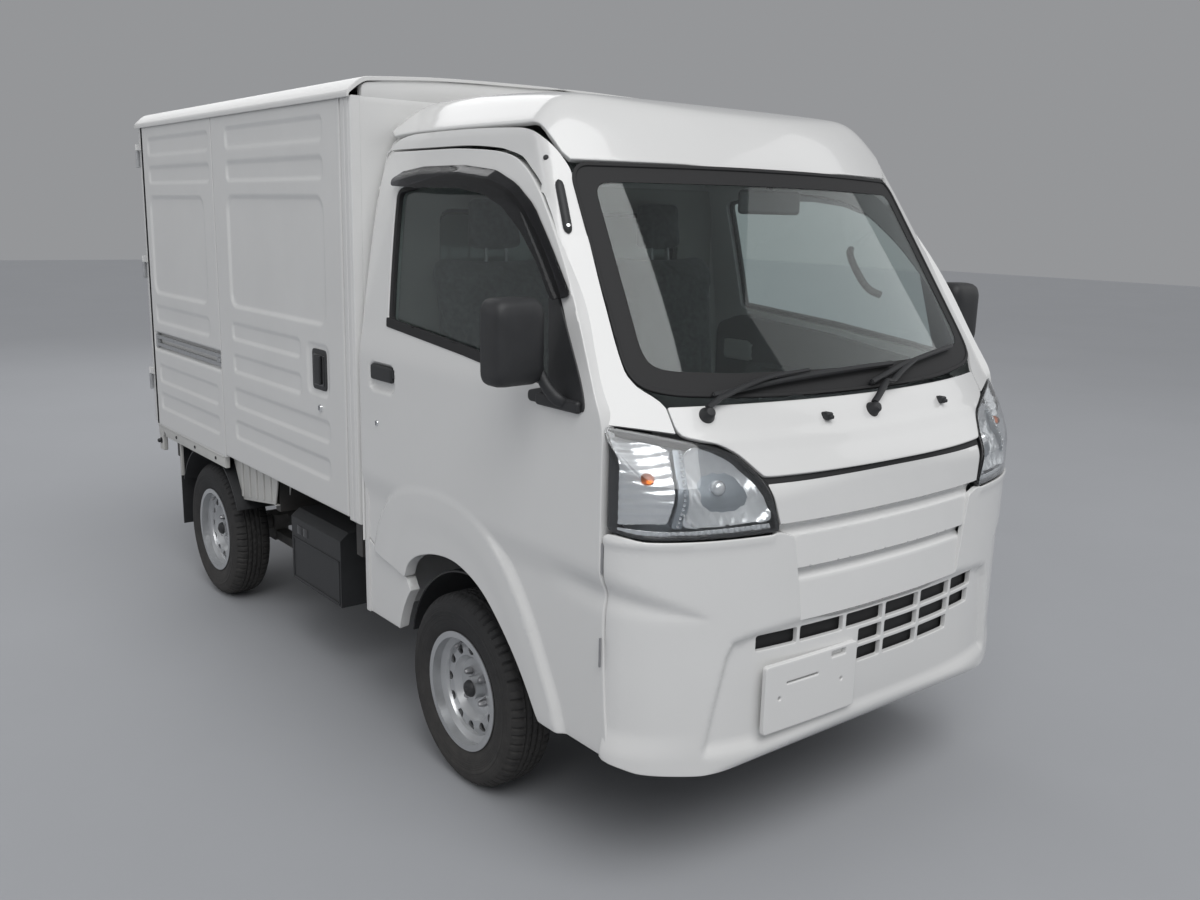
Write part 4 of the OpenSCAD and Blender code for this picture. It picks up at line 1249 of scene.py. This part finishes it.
def reflector_rise(x, z):
    """Main reflector: a bowl 34 mm deep over a squared ellipse, with a fine crossed wave over
    it and upright flutes in a band across its middle."""
    u, v = (x - 508) / 104, (z - 966) / 84
    r = (np.abs(u) ** 2.6 + np.abs(v) ** 2.6) ** (1 / 2.6)
    bowl = -34 * (1 - np.clip(r, 0, 1) ** 1.7) + 0.7 * np.sin(x / 4.6) * np.cos(z / 7)
    flute = 0.9 * np.sin(x / 2.6) * (np.abs(z - 962) < 16)
    return bowl + flute + 10 * step(r, 1.0, 1.06)


def headlamps():
    """Head lamps: lens, rim and bowl follow the front surface; the reflectors are that surface
    less a bowl or a parabola with fine flutes. Tail lamps are ribbed blocks in a housing."""
    edge = arcs(LAMP, [14, 20, 16, 20, 30, 30, 6, 10, 20], 5)
    ccw = turned(edge)
    lens = Piece().add(*panel(FACE, offset(ccw, -1.5), gap=13, depth=2.5, lift_by=-0.5, edge=1.6))
    build("headlamp_lenses", lens.both(), [CLEAR], "truck", hide=["lamps"])
    rim = Piece().add(*panel(FACE, offset(ccw, -0.5), [offset(ccw, -9)], gap=10, depth=30,
                             lift_by=3, edge=2))
    build("headlamp_rims", rim.both(), [GLOSS_BLACK], "truck")
    inner = offset(ccw, -9)
    back = Piece().add(*panel(FACE, inner, gap=16, depth=3, lift_by=36))
    build("headlamp_bowls", back.both(), [LAMP_GREY], "truck")

    dish = [(404, 896), (430, 1000), (468, 1034), (510, 1048), (574, 1056), (600, 960),
            (618, 896), (520, 888)]
    chart = raised(lambda x, z: (x, front_y(x, z) + 16, z), reflector_rise, -1)
    main = Piece().add(*panel(chart, arcs(dish, [14, 20, 16, 20, 30, 40, 20, 30]), gap=5, depth=2,
                              edge=1))
    cx, cz = 512.0, 968.0
    cy = float(front_y(np.array(cx), np.array(cz)))
    main.add(*spin([(0, -2), (9, 0), (15, 5), (18, 13), (17, 22), (10, 30), (9, 44)],
                   (cx, cy + 26, cz), (-0.12, 0.99, 0.03), 28))
    turn = [(640, 898), (604, 1056), (660, 1078), (724, 1092), (724, 898)]
    ribs = raised(lambda x, z: (x, front_y(x, z) + 15, z),
                  lambda x, z: -14 * (1 - np.clip(np.abs(x - 668) / 46, 0, 1) ** 2)
                  + 1.3 * np.sin(z / 3.4), -1)
    main.add(*panel(ribs, arcs(turn, 12), gap=5, depth=2, edge=1))
    low = [(404, 876), (408, 888), (640, 886), (724, 892), (724, 884), (690, 877)]
    pos = raised(lambda x, z: (x, front_y(x, z) + 11, z), lambda x, z: 1.2 * np.sin(x / 2.2), -1)
    main.add(*panel(pos, low, gap=4.5, depth=2, edge=0.8))
    build("headlamp_reflectors", main.both(), [BRIGHT], "truck")

    wall = [(578, 1058), (600, 1062), (642, 894), (620, 890), (604, 950)]
    div = Piece().add(*panel(FACE, arcs(wall, 6), gap=10, depth=16, lift_by=11, edge=1.5))
    build("headlamp_dividers", div.both(), [LAMP_GREY], "truck")
    beads = Piece()
    ball = [(0, -4), (2.8, -2.8), (4, 0), (2.8, 2.8), (0, 4)]
    for t in np.linspace(0, 1, 17):
        x, z = 584 + 40 * t, 1050 - 152 * t
        y = float(front_y(np.array(x), np.array(z)))
        beads.add(*spin(ball, (x, y + 11, z), (0, 1, 0), 10))
    build("headlamp_beads", beads.both(), [CHROME], "truck")
    bulbs = Piece()
    y = float(front_y(np.array(668.0), np.array(996.0)))
    bulbs.add(*spin([(0, -16), (8, -14), (12.5, -7), (13.5, 2), (11, 12), (9, 22)],
                    (662, y + 30, 996), (0.2, 0.98, 0), 20))
    build("turn_bulbs", bulbs.both(), [AMBER], "truck")

    tail = Piece()
    for x0, x1, m in ((457, 520, 0), (522, 582, 1), (584, 643, 2)):
        tail.add(*block((x0, 1634, 496), (x1, 1652, 578), 6, 3), mat=m)
        for z in np.arange(506, 572, 9.0):
            tail.add(*block((x0 + 5, 1650, z - 1.5), (x1 - 5, 1653.5, z + 1.5), 1.2, 1), mat=m)
    tail.add(*block((452, 1580, 489), (648, 1640, 585), 9, 3), mat=3)
    build("tail_lamps", tail.both(), [CLEAR, AMBER, RED, BLACK_TRIM], "truck")


# ---------------------------------------------------------------- wheels

def tyres():
    """Each tyre is a closed profile carried round the axle: the tread is cut by four grooves
    round it and by cross cuts set by the sine of the angle, and the sidewall has fine rings."""
    half = np.array([(153.5, -56), (157, -59.5), (168, -60.5), (178, -65), (192, -69.5),
                     (210, -72), (227, -72.5), (246, -67), (257, -59), (264, -50), (267, -42),
                     (268, -34), (268, 0)])
    p = np.vstack([half, half[-2::-1] * [1, -1]])
    q = ribbon(np.c_[p, np.zeros(len(p))], 150)[:, :2]
    inner = np.array([(153.5, 46), (180, 60), (236, 60), (242, 40), (242, -40), (236, -60),
                      (180, -60), (153.5, -46)])
    n_round = 300
    t = np.linspace(0, 2 * PI, n_round, endpoint=False)
    h, rad = q[:, 1][:, None], q[:, 0][:, None]
    groove = sum(np.exp(-((h - c) / 2.6) ** 4) for c in (-27, -9, 9, 27))
    shoulder = step(np.abs(h), 30, 34) * (1 - step(np.abs(h), 60, 66))
    cross = step(np.sin(t[None] * 66 + np.sign(h) * 0.8), 0.62, 0.92)
    middle = (np.abs(h) < 25) * step(np.sin(t[None] * 66 + h * 0.12), 0.8, 0.97)
    cut = np.minimum(7.5 * groove + 6 * shoulder * cross + 3.5 * middle, 7.5)
    wall = 0.5 * np.sin(rad * 1.1) * step(np.abs(h), 64, 69) + 1.6 * np.exp(
        -((rad - 222) / 2.5) ** 2) * step(np.abs(h), 64, 69)
    rr = rad - cut * (rad > 240)
    hh = h + np.sign(h) * wall * (rad < 246)
    outer = np.stack([hh + 0 * t, rr * np.cos(t), rr * np.sin(t)], -1)
    lining = np.stack([inner[:, 1][:, None] + 0 * t, inner[:, 0][:, None] * np.cos(t),
                       inner[:, 0][:, None] * np.sin(t)], -1)
    ring = np.concatenate([outer, lining])
    verts, faces = grid(ring, close_u=True, close_v=True)
    for spot, s, y in (("front_left", 1, AXLE_F), ("front_right", -1, AXLE_F),
                       ("rear_left", 1, AXLE_R), ("rear_right", -1, AXLE_R)):
        p = Piece().add(verts + [s * TRACK / 2, y, AXLE_Z], faces)
        build(f"tyre_tread_{spot}", p, [TYRE_RUBBER], f"wheel_{spot}",
              hide=[f"tyre_{spot}"], weld=False)


def wheel_fittings():
    """A centre cap, four nuts with their seats, and a valve on each wheel."""
    for spot, s, y in (("front_left", 1, AXLE_F), ("front_right", -1, AXLE_F),
                       ("rear_left", 1, AXLE_R), ("rear_right", -1, AXLE_R)):
        x = TRACK / 2
        cap = Piece().add(*spin([(0, 47), (10, 46.5), (19, 43), (23.5, 36), (25, 26), (26, 8),
                                 (30, 5), (30, 2)], (x, y, AXLE_Z), (1, 0, 0), 40))
        cap.add(*spin([(0, 49), (7, 48.5), (8.5, 46)], (x, y, AXLE_Z), (1, 0, 0), 6))
        nuts = Piece()
        for k in range(4):
            a = PI / 4 + k * PI / 2
            c = (x + 4, y + 50 * np.cos(a), AXLE_Z + 50 * np.sin(a))
            nuts.add(*spin([(0, 25), (5.5, 24.5), (8, 21.5), (10.5, 12), (10.5, 1)], c,
                           (1, 0, 0), 6))
            nuts.add(*spin([(11, 3), (15, 2.5), (15.5, 0)], c, (1, 0, 0), 24))
        a = np.radians(75)
        c = np.array([x + 34, y + 134 * np.cos(a), AXLE_Z + 134 * np.sin(a)])
        nuts.add(*tube([c, c + [14, -2, -8], c + [26, -4, -14]], np.r_[np.full(8, 4.2),
                                                                     np.full(6, 5.2)], 10, 14))
        build(f"wheel_cap_{spot}", cap.side(s), [BLACK_TRIM], f"wheel_{spot}")
        build(f"wheel_nuts_{spot}", nuts.side(s), [STEEL], f"wheel_{spot}")


# ---------------------------------------------------------------- wipers and small trim

def on_glass(x, z, out):
    """Points on the windscreen, out from it along its normal."""
    x, z = np.asarray(x, float), np.asarray(z, float)
    p = lift(FACE, np.stack([x, z], -1), -np.broadcast_to(out, x.shape))
    return p


def wipers():
    """Arms and blades are tubes on the windscreen, each bowed out by a half wave of the sine along
    its length."""
    p = Piece()
    for pivot, arm, blade in (((-497, 1121), [(-497, 1132), (-440, 1154), (-330, 1182), (-190,
                              1197)], [(-468, 1158), (-300, 1178), (-60, 1192), (120, 1196)]),
                              ((-20, 1104), [(-20, 1114), (40, 1140), (130, 1172), (230, 1196)],
                               [(10, 1160), (150, 1186), (330, 1204), (480, 1212)])):
        c = on_glass([pivot[0]], [pivot[1]], 4)[0]
        n = on_glass([pivot[0]], [pivot[1]], 5)[0] - c
        p.add(*spin([(0, 20), (9, 19), (13, 15), (15, 6), (19, -2), (20, -14)], c, n, 24))
        q = ribbon(np.array(arm, float), 30)
        pts = on_glass(q[:, 0], q[:, 1], np.linspace(16, 15, 30) + 8 * np.sin(np.linspace(0, PI,
                                                                                          30)))
        p.add(*tube(pts, np.r_[np.full(6, 9.0), np.linspace(9, 6, 24)], 10, flat=0.7))
        q = ribbon(np.array(blade, float), 40)
        p.add(*tube(on_glass(q[:, 0], q[:, 1], 9 + 5 * np.sin(np.linspace(0, PI, 40))), 7, 8))
        p.add(*tube(on_glass(q[:, 0], q[:, 1] - 1, 3.5), 2.6, 6, flat=1.6))
        for k in (0, 9, 30, 39):
            p.add(*tube(on_glass(q[k:k + 1, 0].repeat(2), q[k:k + 1, 1].repeat(2),
                                 np.array([3.0, 13.0])), 4, 8))
    build("wipers", p, [BLACK_TRIM], "truck")


def roof_trim():
    """The pillar aerial with its screw, and the plug above it, on the driver's side."""
    p = Piece()
    a, b = np.array([-655, -1226, 1510.0]), np.array([-628, -1142, 1622.0])
    t = np.linspace(0, 1, 26)[:, None]
    line = onto_skin(a + (b - a) * t, 3)
    r = 11 * np.sqrt(np.clip(1 - (np.abs(t[:, 0] * 2 - 1)) ** 10, 0.04, 1))
    p.add(*tube(line, r, 14, flat=0.75))
    n = onto_skin(line, 12) - line
    p.add(*spin([(0, 3.6), (4, 3.2), (5, 1)], line[3] + n[3] * 0.75, n[3], 16), mat=1)
    c = onto_skin(np.array([[-634.0, -1104, 1678]]), 0)[0]
    d = onto_skin(np.array([[-634.0, -1104, 1678]]), 8)[0] - c
    p.add(*spin([(0, 2.5), (5, 2.2), (6.5, 0.5), (7, -2)], c, d, 18))
    build("pillar_aerial", p, [BLACK_TRIM, CHROME], "truck")


cab_doors()
mirrors()
headlamps()
tyres()
wheel_fittings()
wipers()
roof_trim()


# ---------------------------------------------------------------- rear of the box

REAR_BEADS = [(64, 672, 1752, 1806, 18, 6), (64, 672, 1660, 1714, 18, 6),
              (64, 672, 1230, 1610, 44, 7), (64, 672, 1120, 1176, 18, 6),
              (64, 672, 1010, 1066, 18, 6), (64, 672, 820, 876, 18, 6),
              (64, 672, 700, 756, 18, 6)]


def rear_doors():
    """Twin doors with pressed beads, hinges, lock rods and seals, and the cargo floor."""
    skin = Piece().add(*slab(3, 733.5, 620, 1858, lambda u, v, h: (u, 1688 + h, v), gap=14,
                             thick=25, height=pressings(REAR_BEADS), us=bead_lines(REAR_BEADS, 0),
                             vs=bead_lines(REAR_BEADS, 2)))
    lining = [(60, 676, 700, 1780, 40, 5)]
    skin.add(*slab(24, 700, 650, 1830, lambda u, v, h: (u, 1662 - h, v), gap=30, thick=3,
                   r=1.5, height=pressings(lining), us=bead_lines(lining, 0),
                   vs=bead_lines(lining, 2)))
    hinges, rods, seal = Piece(), Piece(), Piece()
    for z in (760, 1240, 1700):
        hinges.add(*spin([(0, 70), (6, 70), (7.4, 68.5), (7.4, 1.5), (6, 0), (0, 0)],
                         (741, 1690, z), (0, 0, 1), 20))
        hinges.add(*block((640, 1686.5, z + 6), (740, 1692.5, z + 64), 2.5, 2))
        for x in (656, 684, 712):
            hinges.add(*spin([(0, 4), (4, 3.6), (6, 1.5), (6.5, 0)], (x, 1692, z + 35),
                             (0, 1, 0), 14))
    x = 96
    rods.add(*tube([(x, 1704, z) for z in (640, 900, 1240, 1560, 1840)], 9, 14))
    for z in (648, 820, 1240, 1640, 1822):
        rods.add(*block((x - 26, 1686, z - 16), (x + 26, 1696, z + 16), 3, 2))
        rods.add(*block((x - 14, 1694, z - 9), (x + 14, 1716, z + 9), 4, 2))
    rods.add(*tube([(x, 1708, 1052), (x + 20, 1716, 1050), (x + 150, 1716, 1044),
                    (x + 190, 1712, 1042)], np.r_[np.full(20, 8.0), np.full(6, 10.0)], 12, 26,
                   0.55))
    rods.add(*block((x + 150, 1686, 1028), (x + 182, 1706, 1058), 4, 2))
    ring = arcs([(10, 626), (727, 626), (727, 1852), (10, 1852)], 14)
    line = resample(ring, 60)
    seal.add(*tube(np.vstack([np.stack([line[:, 0] * 0.985 + 5, np.full(len(line), 1658.0),
                                        line[:, 1]], -1), [[line[0, 0] * 0.985 + 5, 1658.0,
                                                            line[0, 1]]]]), 5, 8, 90))
    for s, side in ((1, "left"), (-1, "right")):
        body = f"box_door_{side}"
        build(f"rear_skin_{side}", skin.side(s), [PANEL_PAINT], body,
              hide=[f"rear_door_{side}"])
        build(f"rear_hinges_{side}", hinges.side(s), [GALVANISED], body)
        build(f"rear_lock_rod_{side}", rods.side(s), [GALVANISED], body)
        build(f"rear_seal_{side}", seal.side(s), [RUBBER], body)
    floor = Piece().add(*slab(-680, 680, -225, 1624, lambda u, v, h: (u, v, 664 + h), gap=40,
                              thick=4, r=1))
    build("cargo_floor", floor, [PLYWOOD], "truck")
    strips = Piece()
    for x in (-430, -215, 0, 215, 430):
        strips.add(*block((x - 14, -220, 663), (x + 14, 1618, 668), 2, 1))
    for z in (900, 1230, 1560):
        strips.add(*block((-706, -215, z - 12), (-698, 1610, z + 12), 2, 1))
        strips.add(*block((698, -215, z - 12), (706, 1610, z + 12), 2, 1))
    build("cargo_strips", strips, [GALVANISED], "truck")


# ---------------------------------------------------------------- below the box

def under_parts():
    """Rails with a round notch, brackets, bolts, and the trim of battery box and tank."""
    white = Piece()
    t = np.linspace(0, PI, 13)
    notch = [(1572 + 17 * np.cos(a), 566 + 17 * np.sin(a)) for a in t]
    rail = np.array([(840, 612), (840, 566), (1500, 566), *notch[::-1], (1646, 566), (1646, 612)])
    white.add(*prism(rail, lambda u, v, h: (h, u, v), 716, 735, 2.5))
    white.add(*block((712, 846, 604), (738, 1644, 614), 4, 2))
    white.add(*block((714, 1598, 498), (734, 1646, 570), 4, 3))
    bracket = [(864, 608), (772, 452), (458, 500), (434, 580), (434, 608)]
    white.add(*prism(arcs(bracket, 10), lambda u, v, h: (h, u, v), 690, 696, 1.5))
    for y in (492, 560, 628, 696, 764):
        low = 500 - (y - 458) * 48 / 314 + 12
        white.add(*block((694, y - 9, low), (702, y + 9, 600), 4, 2))
    white.add(*prism(arcs([(434, 608), (434, 584), (458, 504), (772, 456), (862, 608)], 8),
                     lambda u, v, h: (h, u, v), 640, 644, 1))
    white.add(*block((642, 452, 496), (694, 776, 500), 1.5, 1))
    white.add(*block((716, 1386, 426), (730, 1393, 608), 3, 2))
    white.add(*block((580, 1386, 560), (730, 1393, 606), 3, 2))
    build("lower_rails", white.both(), [UNDERPAINT], "truck")
    bolts = Piece()
    bolts.add(*spin([(0, 17), (6, 16), (9, 12), (9.5, 6), (7, 3), (13, 2), (14, 0)],
                    (734, 1622, 540), (1, 0, 0), 20))
    for y in (1410, 1180, 940):
        bolts.add(*spin([(0, 4), (5, 4), (7, 2), (7, 0)], (735, y, 588), (1, 0, 0), 6))
    build("rail_bolts", bolts.both(), [BLACK_TRIM], "truck")

    box = Piece()
    for y in (214, 262):
        box.add(*prism(arcs([(y - 20, 436), (y + 20, 436), (y + 20, 468), (y - 20, 468)], 4),
                       lambda u, v, h: (-690 - h, u, v), -3, 1.4, 0.8), mat=1)
    box.add(*block((-693, -50, 268), (-686, 320, 276), 2, 2))
    box.add(*block((-693, -50, 414), (-686, 320, 420), 2, 2))
    box.add(*block((-693, -50, 268), (-686, -43, 420), 2, 2))
    box.add(*block((-693, 313, 268), (-686, 320, 420), 2, 2))
    build("battery_cover", box, [BLACK_TRIM, GLOSS_BLACK], "truck")
    tank = Piece()
    for y in (60, 330):
        tank.add(*block((304, y, 269), (696, y + 26, 272), 1, 1))
        tank.add(*block((692, y, 269), (695, y + 26, 476), 1, 1))
    tank.add(*tube([(640, 380, 440), (700, 395, 500), (716, 400, 545), (720, 402, 560)], 20, 14))
    tank.add(*spin([(0, 18), (26, 17), (30, 12), (30, 0)], (720, 402, 556), (0.2, 0, 1), 24))
    build("tank_straps", tank, [STEEL], "truck")


# ---------------------------------------------------------------- cabin

def soften(obj, size=0.006, cap=0.016):
    """Sewn covers pull tight: the form is remeshed, blown up a little as cloth with gravity off,
    and the movement of each point is capped."""
    scene = bpy.context.scene
    mod = obj.modifiers.new("voxels", "REMESH")
    mod.mode, mod.voxel_size = "VOXEL", size
    seen = obj.evaluated_get(bpy.context.evaluated_depsgraph_get())
    mesh = bpy.data.meshes.new_from_object(seen)
    obj.modifiers.clear()
    obj.data = mesh
    n = len(mesh.vertices)
    start = np.empty(n * 3)
    mesh.vertices.foreach_get("co", start)
    soft = obj.modifiers.new("cover", "CLOTH")
    soft.settings.use_pressure = True
    soft.settings.uniform_pressure_force = 4.0
    soft.settings.quality = 4
    soft.settings.effector_weights.gravity = 0.0
    soft.point_cache.frame_start, soft.point_cache.frame_end = 1, 20
    for f in range(1, 21):
        scene.frame_set(f)
    seen = obj.evaluated_get(bpy.context.evaluated_depsgraph_get())
    end = np.empty(n * 3)
    seen.data.vertices.foreach_get("co", end)
    obj.modifiers.clear()
    scene.frame_set(1)
    move = (end - start).reshape(-1, 3)
    far = np.linalg.norm(move, axis=1, keepdims=True)
    move *= np.minimum(1, cap / np.maximum(far, 1e-9))
    mesh.vertices.foreach_set("co", (start.reshape(-1, 3) + move).ravel())
    mesh.update()
    return obj


def seats():
    """Cushion, back and head rest of one seat, copied across the truck. Channels are sewn in
    after the cloth pass, as grooves set by the distance from each line."""
    cushion = Piece().add(*block((108, -948, 716), (548, -440, 820), 46, 8))
    outline = [(-548, 846), (-440, 846), (-374, 1378), (-388, 1416), (-440, 1424), (-488, 1376)]
    back = Piece().add(*prism(arcs(outline, [26, 26, 24, 20, 22, 40], 6),
                              lambda u, v, h: (h, u, v), 122, 534, 22))
    rest_line = [(-452, 1448), (-386, 1444), (-388, 1588), (-432, 1592)]
    rest = Piece().add(*prism(arcs(rest_line, 22, 6), lambda u, v, h: (h, u, v), 244, 412, 18))
    for name, piece, fill, line in (("seat_cushion", cushion, 0.7, 1), ("seat_back", back, 0.7, 2),
                                    ("head_rest", rest, 0.8, 0)):
        a = soften(build(f"{name}_left", piece, [SEAT_CLOTH], "truck", angle=60))
        n = len(a.data.vertices)
        co = np.empty(n * 3)
        a.data.vertices.foreach_get("co", co)
        co = co.reshape(-1, 3) * 1000
        for x in (212, 444):
            dent = 7 * np.exp(-((co[:, 0] - x) / 8) ** 2)
            if line == 1:
                co[:, 2] -= dent * step(co[:, 2], 790, 815)
            if line == 2:
                co[:, 1] += dent * step(-co[:, 1] - 0.12 * (co[:, 2] - 846), 480, 520)
        a.data.vertices.foreach_set("co", (co / 1000).ravel())
        mesh = a.data.copy()
        mesh.vertices.foreach_set("co", (co / 1000 * [-1, 1, 1]).ravel())
        mesh.flip_normals()
        b = bpy.data.objects.new(f"{name}_right", mesh)
        bpy.context.scene.collection.objects.link(b)
        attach(b, "truck")
        for o in (a, b):
            o.data.polygons.foreach_set("use_smooth", np.ones(len(o.data.polygons), bool))
    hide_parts("seats")
    posts = Piece()
    for x in (292, 364):
        posts.add(*tube([(x, -432, 1390), (x, -424, 1460)], 6, 10))
    for x in (106, 552):
        posts.add(*block((x - 8, -930, 706), (x + 8, -450, 722), 3, 2))
    build("seat_fittings", posts.both(), [STEEL], "truck")


def dashboard():
    """Dashboard from one side outline carried across the cab, parted round the open tray, with
    its dials, vents and knobs, and the cabin's lining, mirror, grip, sun visors and mats."""
    top = [(-1495, 1002), (-1440, 1090), (-1400, 1110), (-1292, 1098), (-1264, 1058),
           (-1272, 1004)]
    whole = [(-1495, 872), (-1495, 1000), (-1440, 1090), (-1400, 1110), (-1292, 1098),
             (-1264, 1058), (-1276, 932), (-1332, 872)]
    low = [(-1495, 872), (-1495, 896), (-1300, 896), (-1332, 872)]
    place = lambda u, v, h: (h, u, v)
    d = Piece()
    d.add(*prism(arcs(whole, [8, 20, 30, 30, 26, 26, 40, 20], 6), place, -580, 116, 4))
    d.add(*prism(arcs(whole, [8, 20, 30, 30, 26, 26, 40, 20], 6), place, 524, 580, 4))
    d.add(*prism(arcs(top, [8, 30, 30, 26, 26, 12], 6), place, 116, 524, 3))
    d.add(*prism(arcs(low, 8, 3), place, 116, 524, 3))
    d.add(*block((114, -1497, 880), (526, -1470, 1010), 5, 2))
    hood = arcs([(-1420, 1080), (-1350, 1150), (-1262, 1140), (-1250, 1060)], [10, 30, 16, 8], 6)
    d.add(*prism(hood, place, -500, -170, 10))
    build("dash_shell", d, [DARK_TRIM], "truck", hide=["dashboard"])
    dials = Piece()
    dials.add(*prism(arcs([(-478, 1072), (-192, 1072), (-200, 1130), (-470, 1130)], 20),
                     lambda u, v, h: (u, -1256 + h - (1130 - v) * 0.1, v), 0, 4, 1), mat=0)
    for x in (-390, -280):
        dials.add(*spin([(36, 4), (40, 5), (41, 2), (41, 0)], (x, -1254, 1100), (0, 1, 0), 40),
                  mat=1)
    for x0, x1, z0, z1 in ((-560, -510, 1010, 1060), (-130, -60, 1010, 1066), (30, 100, 1010,
                           1066), (530, 574, 1010, 1060)):
        dials.add(*block((x0, -1272, z0), (x1, -1255, z1), 6, 3), mat=1)
        for z in np.arange(z0 + 9, z1 - 4, 9.0):
            dials.add(*block((x0 + 5, -1259, z - 2), (x1 - 5, -1252, z + 2), 1.5, 1), mat=2)
    dials.add(*block((-110, -1290, 930), (90, -1266, 1000), 6, 3), mat=1)
    dials.add(*block((-96, -1270, 942), (76, -1263, 988), 3, 2), mat=0)
    for x in (-90, -15, 60):
        dials.add(*spin([(0, 14), (12, 13), (15, 10), (16, 0)], (x, -1290, 900), (0, 1, 0), 28),
                  mat=2)
    build("dash_fittings", dials, [GLOSS_BLACK, GREY_PLASTIC, BLACK_TRIM], "truck")
    trim = Piece()
    y = float(screen_y(np.array(0.0), np.array(1590.0)))
    trim.add(*block((-112, y + 58, 1560), (112, y + 80, 1622), 14, 5))
    trim.add(*tube([(0, y + 66, 1600), (0, y + 76, 1640), (0, y + 96, 1674)], 8, 10))
    trim.add(*tube([(592, -1150, 1330), (566, -1130, 1345), (552, -1085, 1400), (570, -1040, 1452),
                    (596, -1022, 1462)], 11, 12, 24))
    build("cabin_trim", trim, [DARK_TRIM], "truck")
    visors = Piece()
    for x in (-330, 330):
        visors.add(*block((x - 160, y + 165, 1640), (x + 160, y + 300, 1654), 6, 3))
    wall = arcs([(-640, 745), (640, 745), (640, 1640), (-640, 1640)], 20)
    gap = arcs([(-478, 1182), (478, 1182), (478, 1558), (-478, 1558)], 40)
    ribs = [(-600, -520, 820, 1120, 20, 5), (520, 600, 820, 1120, 20, 5),
            (-480, 480, 800, 1120, 40, 5)]
    back = raised(lambda x, z: (x, -352 + 0 * x, z), pressings(ribs, 6), -1)
    visors.add(*panel(back, wall, [gap], gap=24, depth=4, edge=1))
    visors.add(*block((-560, -1060, 1700), (560, -370, 1708), 4, 2))
    build("cabin_lining", visors, [PALE_TRIM], "truck")
    mats = Piece()
    for s in (-1, 1):
        mats.add(*block((min(s * 120, s * 560), -1440, 434), (max(s * 120, s * 560), -1180, 441),
                        3, 2))
    build("floor_mats", mats, [CARPET], "truck")


def finish_nodes(nodes):
    """The finish of every CAD node that stays in view."""
    for names, m in (("chassis_frame cross_members bed_rails box_bearers fuel_tank", CHASSIS),
                     ("engine front_suspension rear_axle knuckle_left knuckle_right", CAST),
                     ("steering_rack", STEEL), ("exhaust", EXHAUST),
                     ("battery_box mudguards", BLACK_TRIM), ("cab_floor", GREY_PLASTIC),
                     ("box_floor", UNDERPAINT), ("rear_frame", PANEL_PAINT),
                     ("steering_wheel", DARK_TRIM),
                     ("rim_front_left rim_front_right rim_rear_left rim_rear_right",
                      WHEEL_SILVER)):
        for name in names.split():
            slots = nodes[name].material_slots
            if not len(slots):
                nodes[name].data.materials.append(m)
            for s in slots:
                s.material = m


rear_doors()
under_parts()
seats()
dashboard()
finish_nodes(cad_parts)
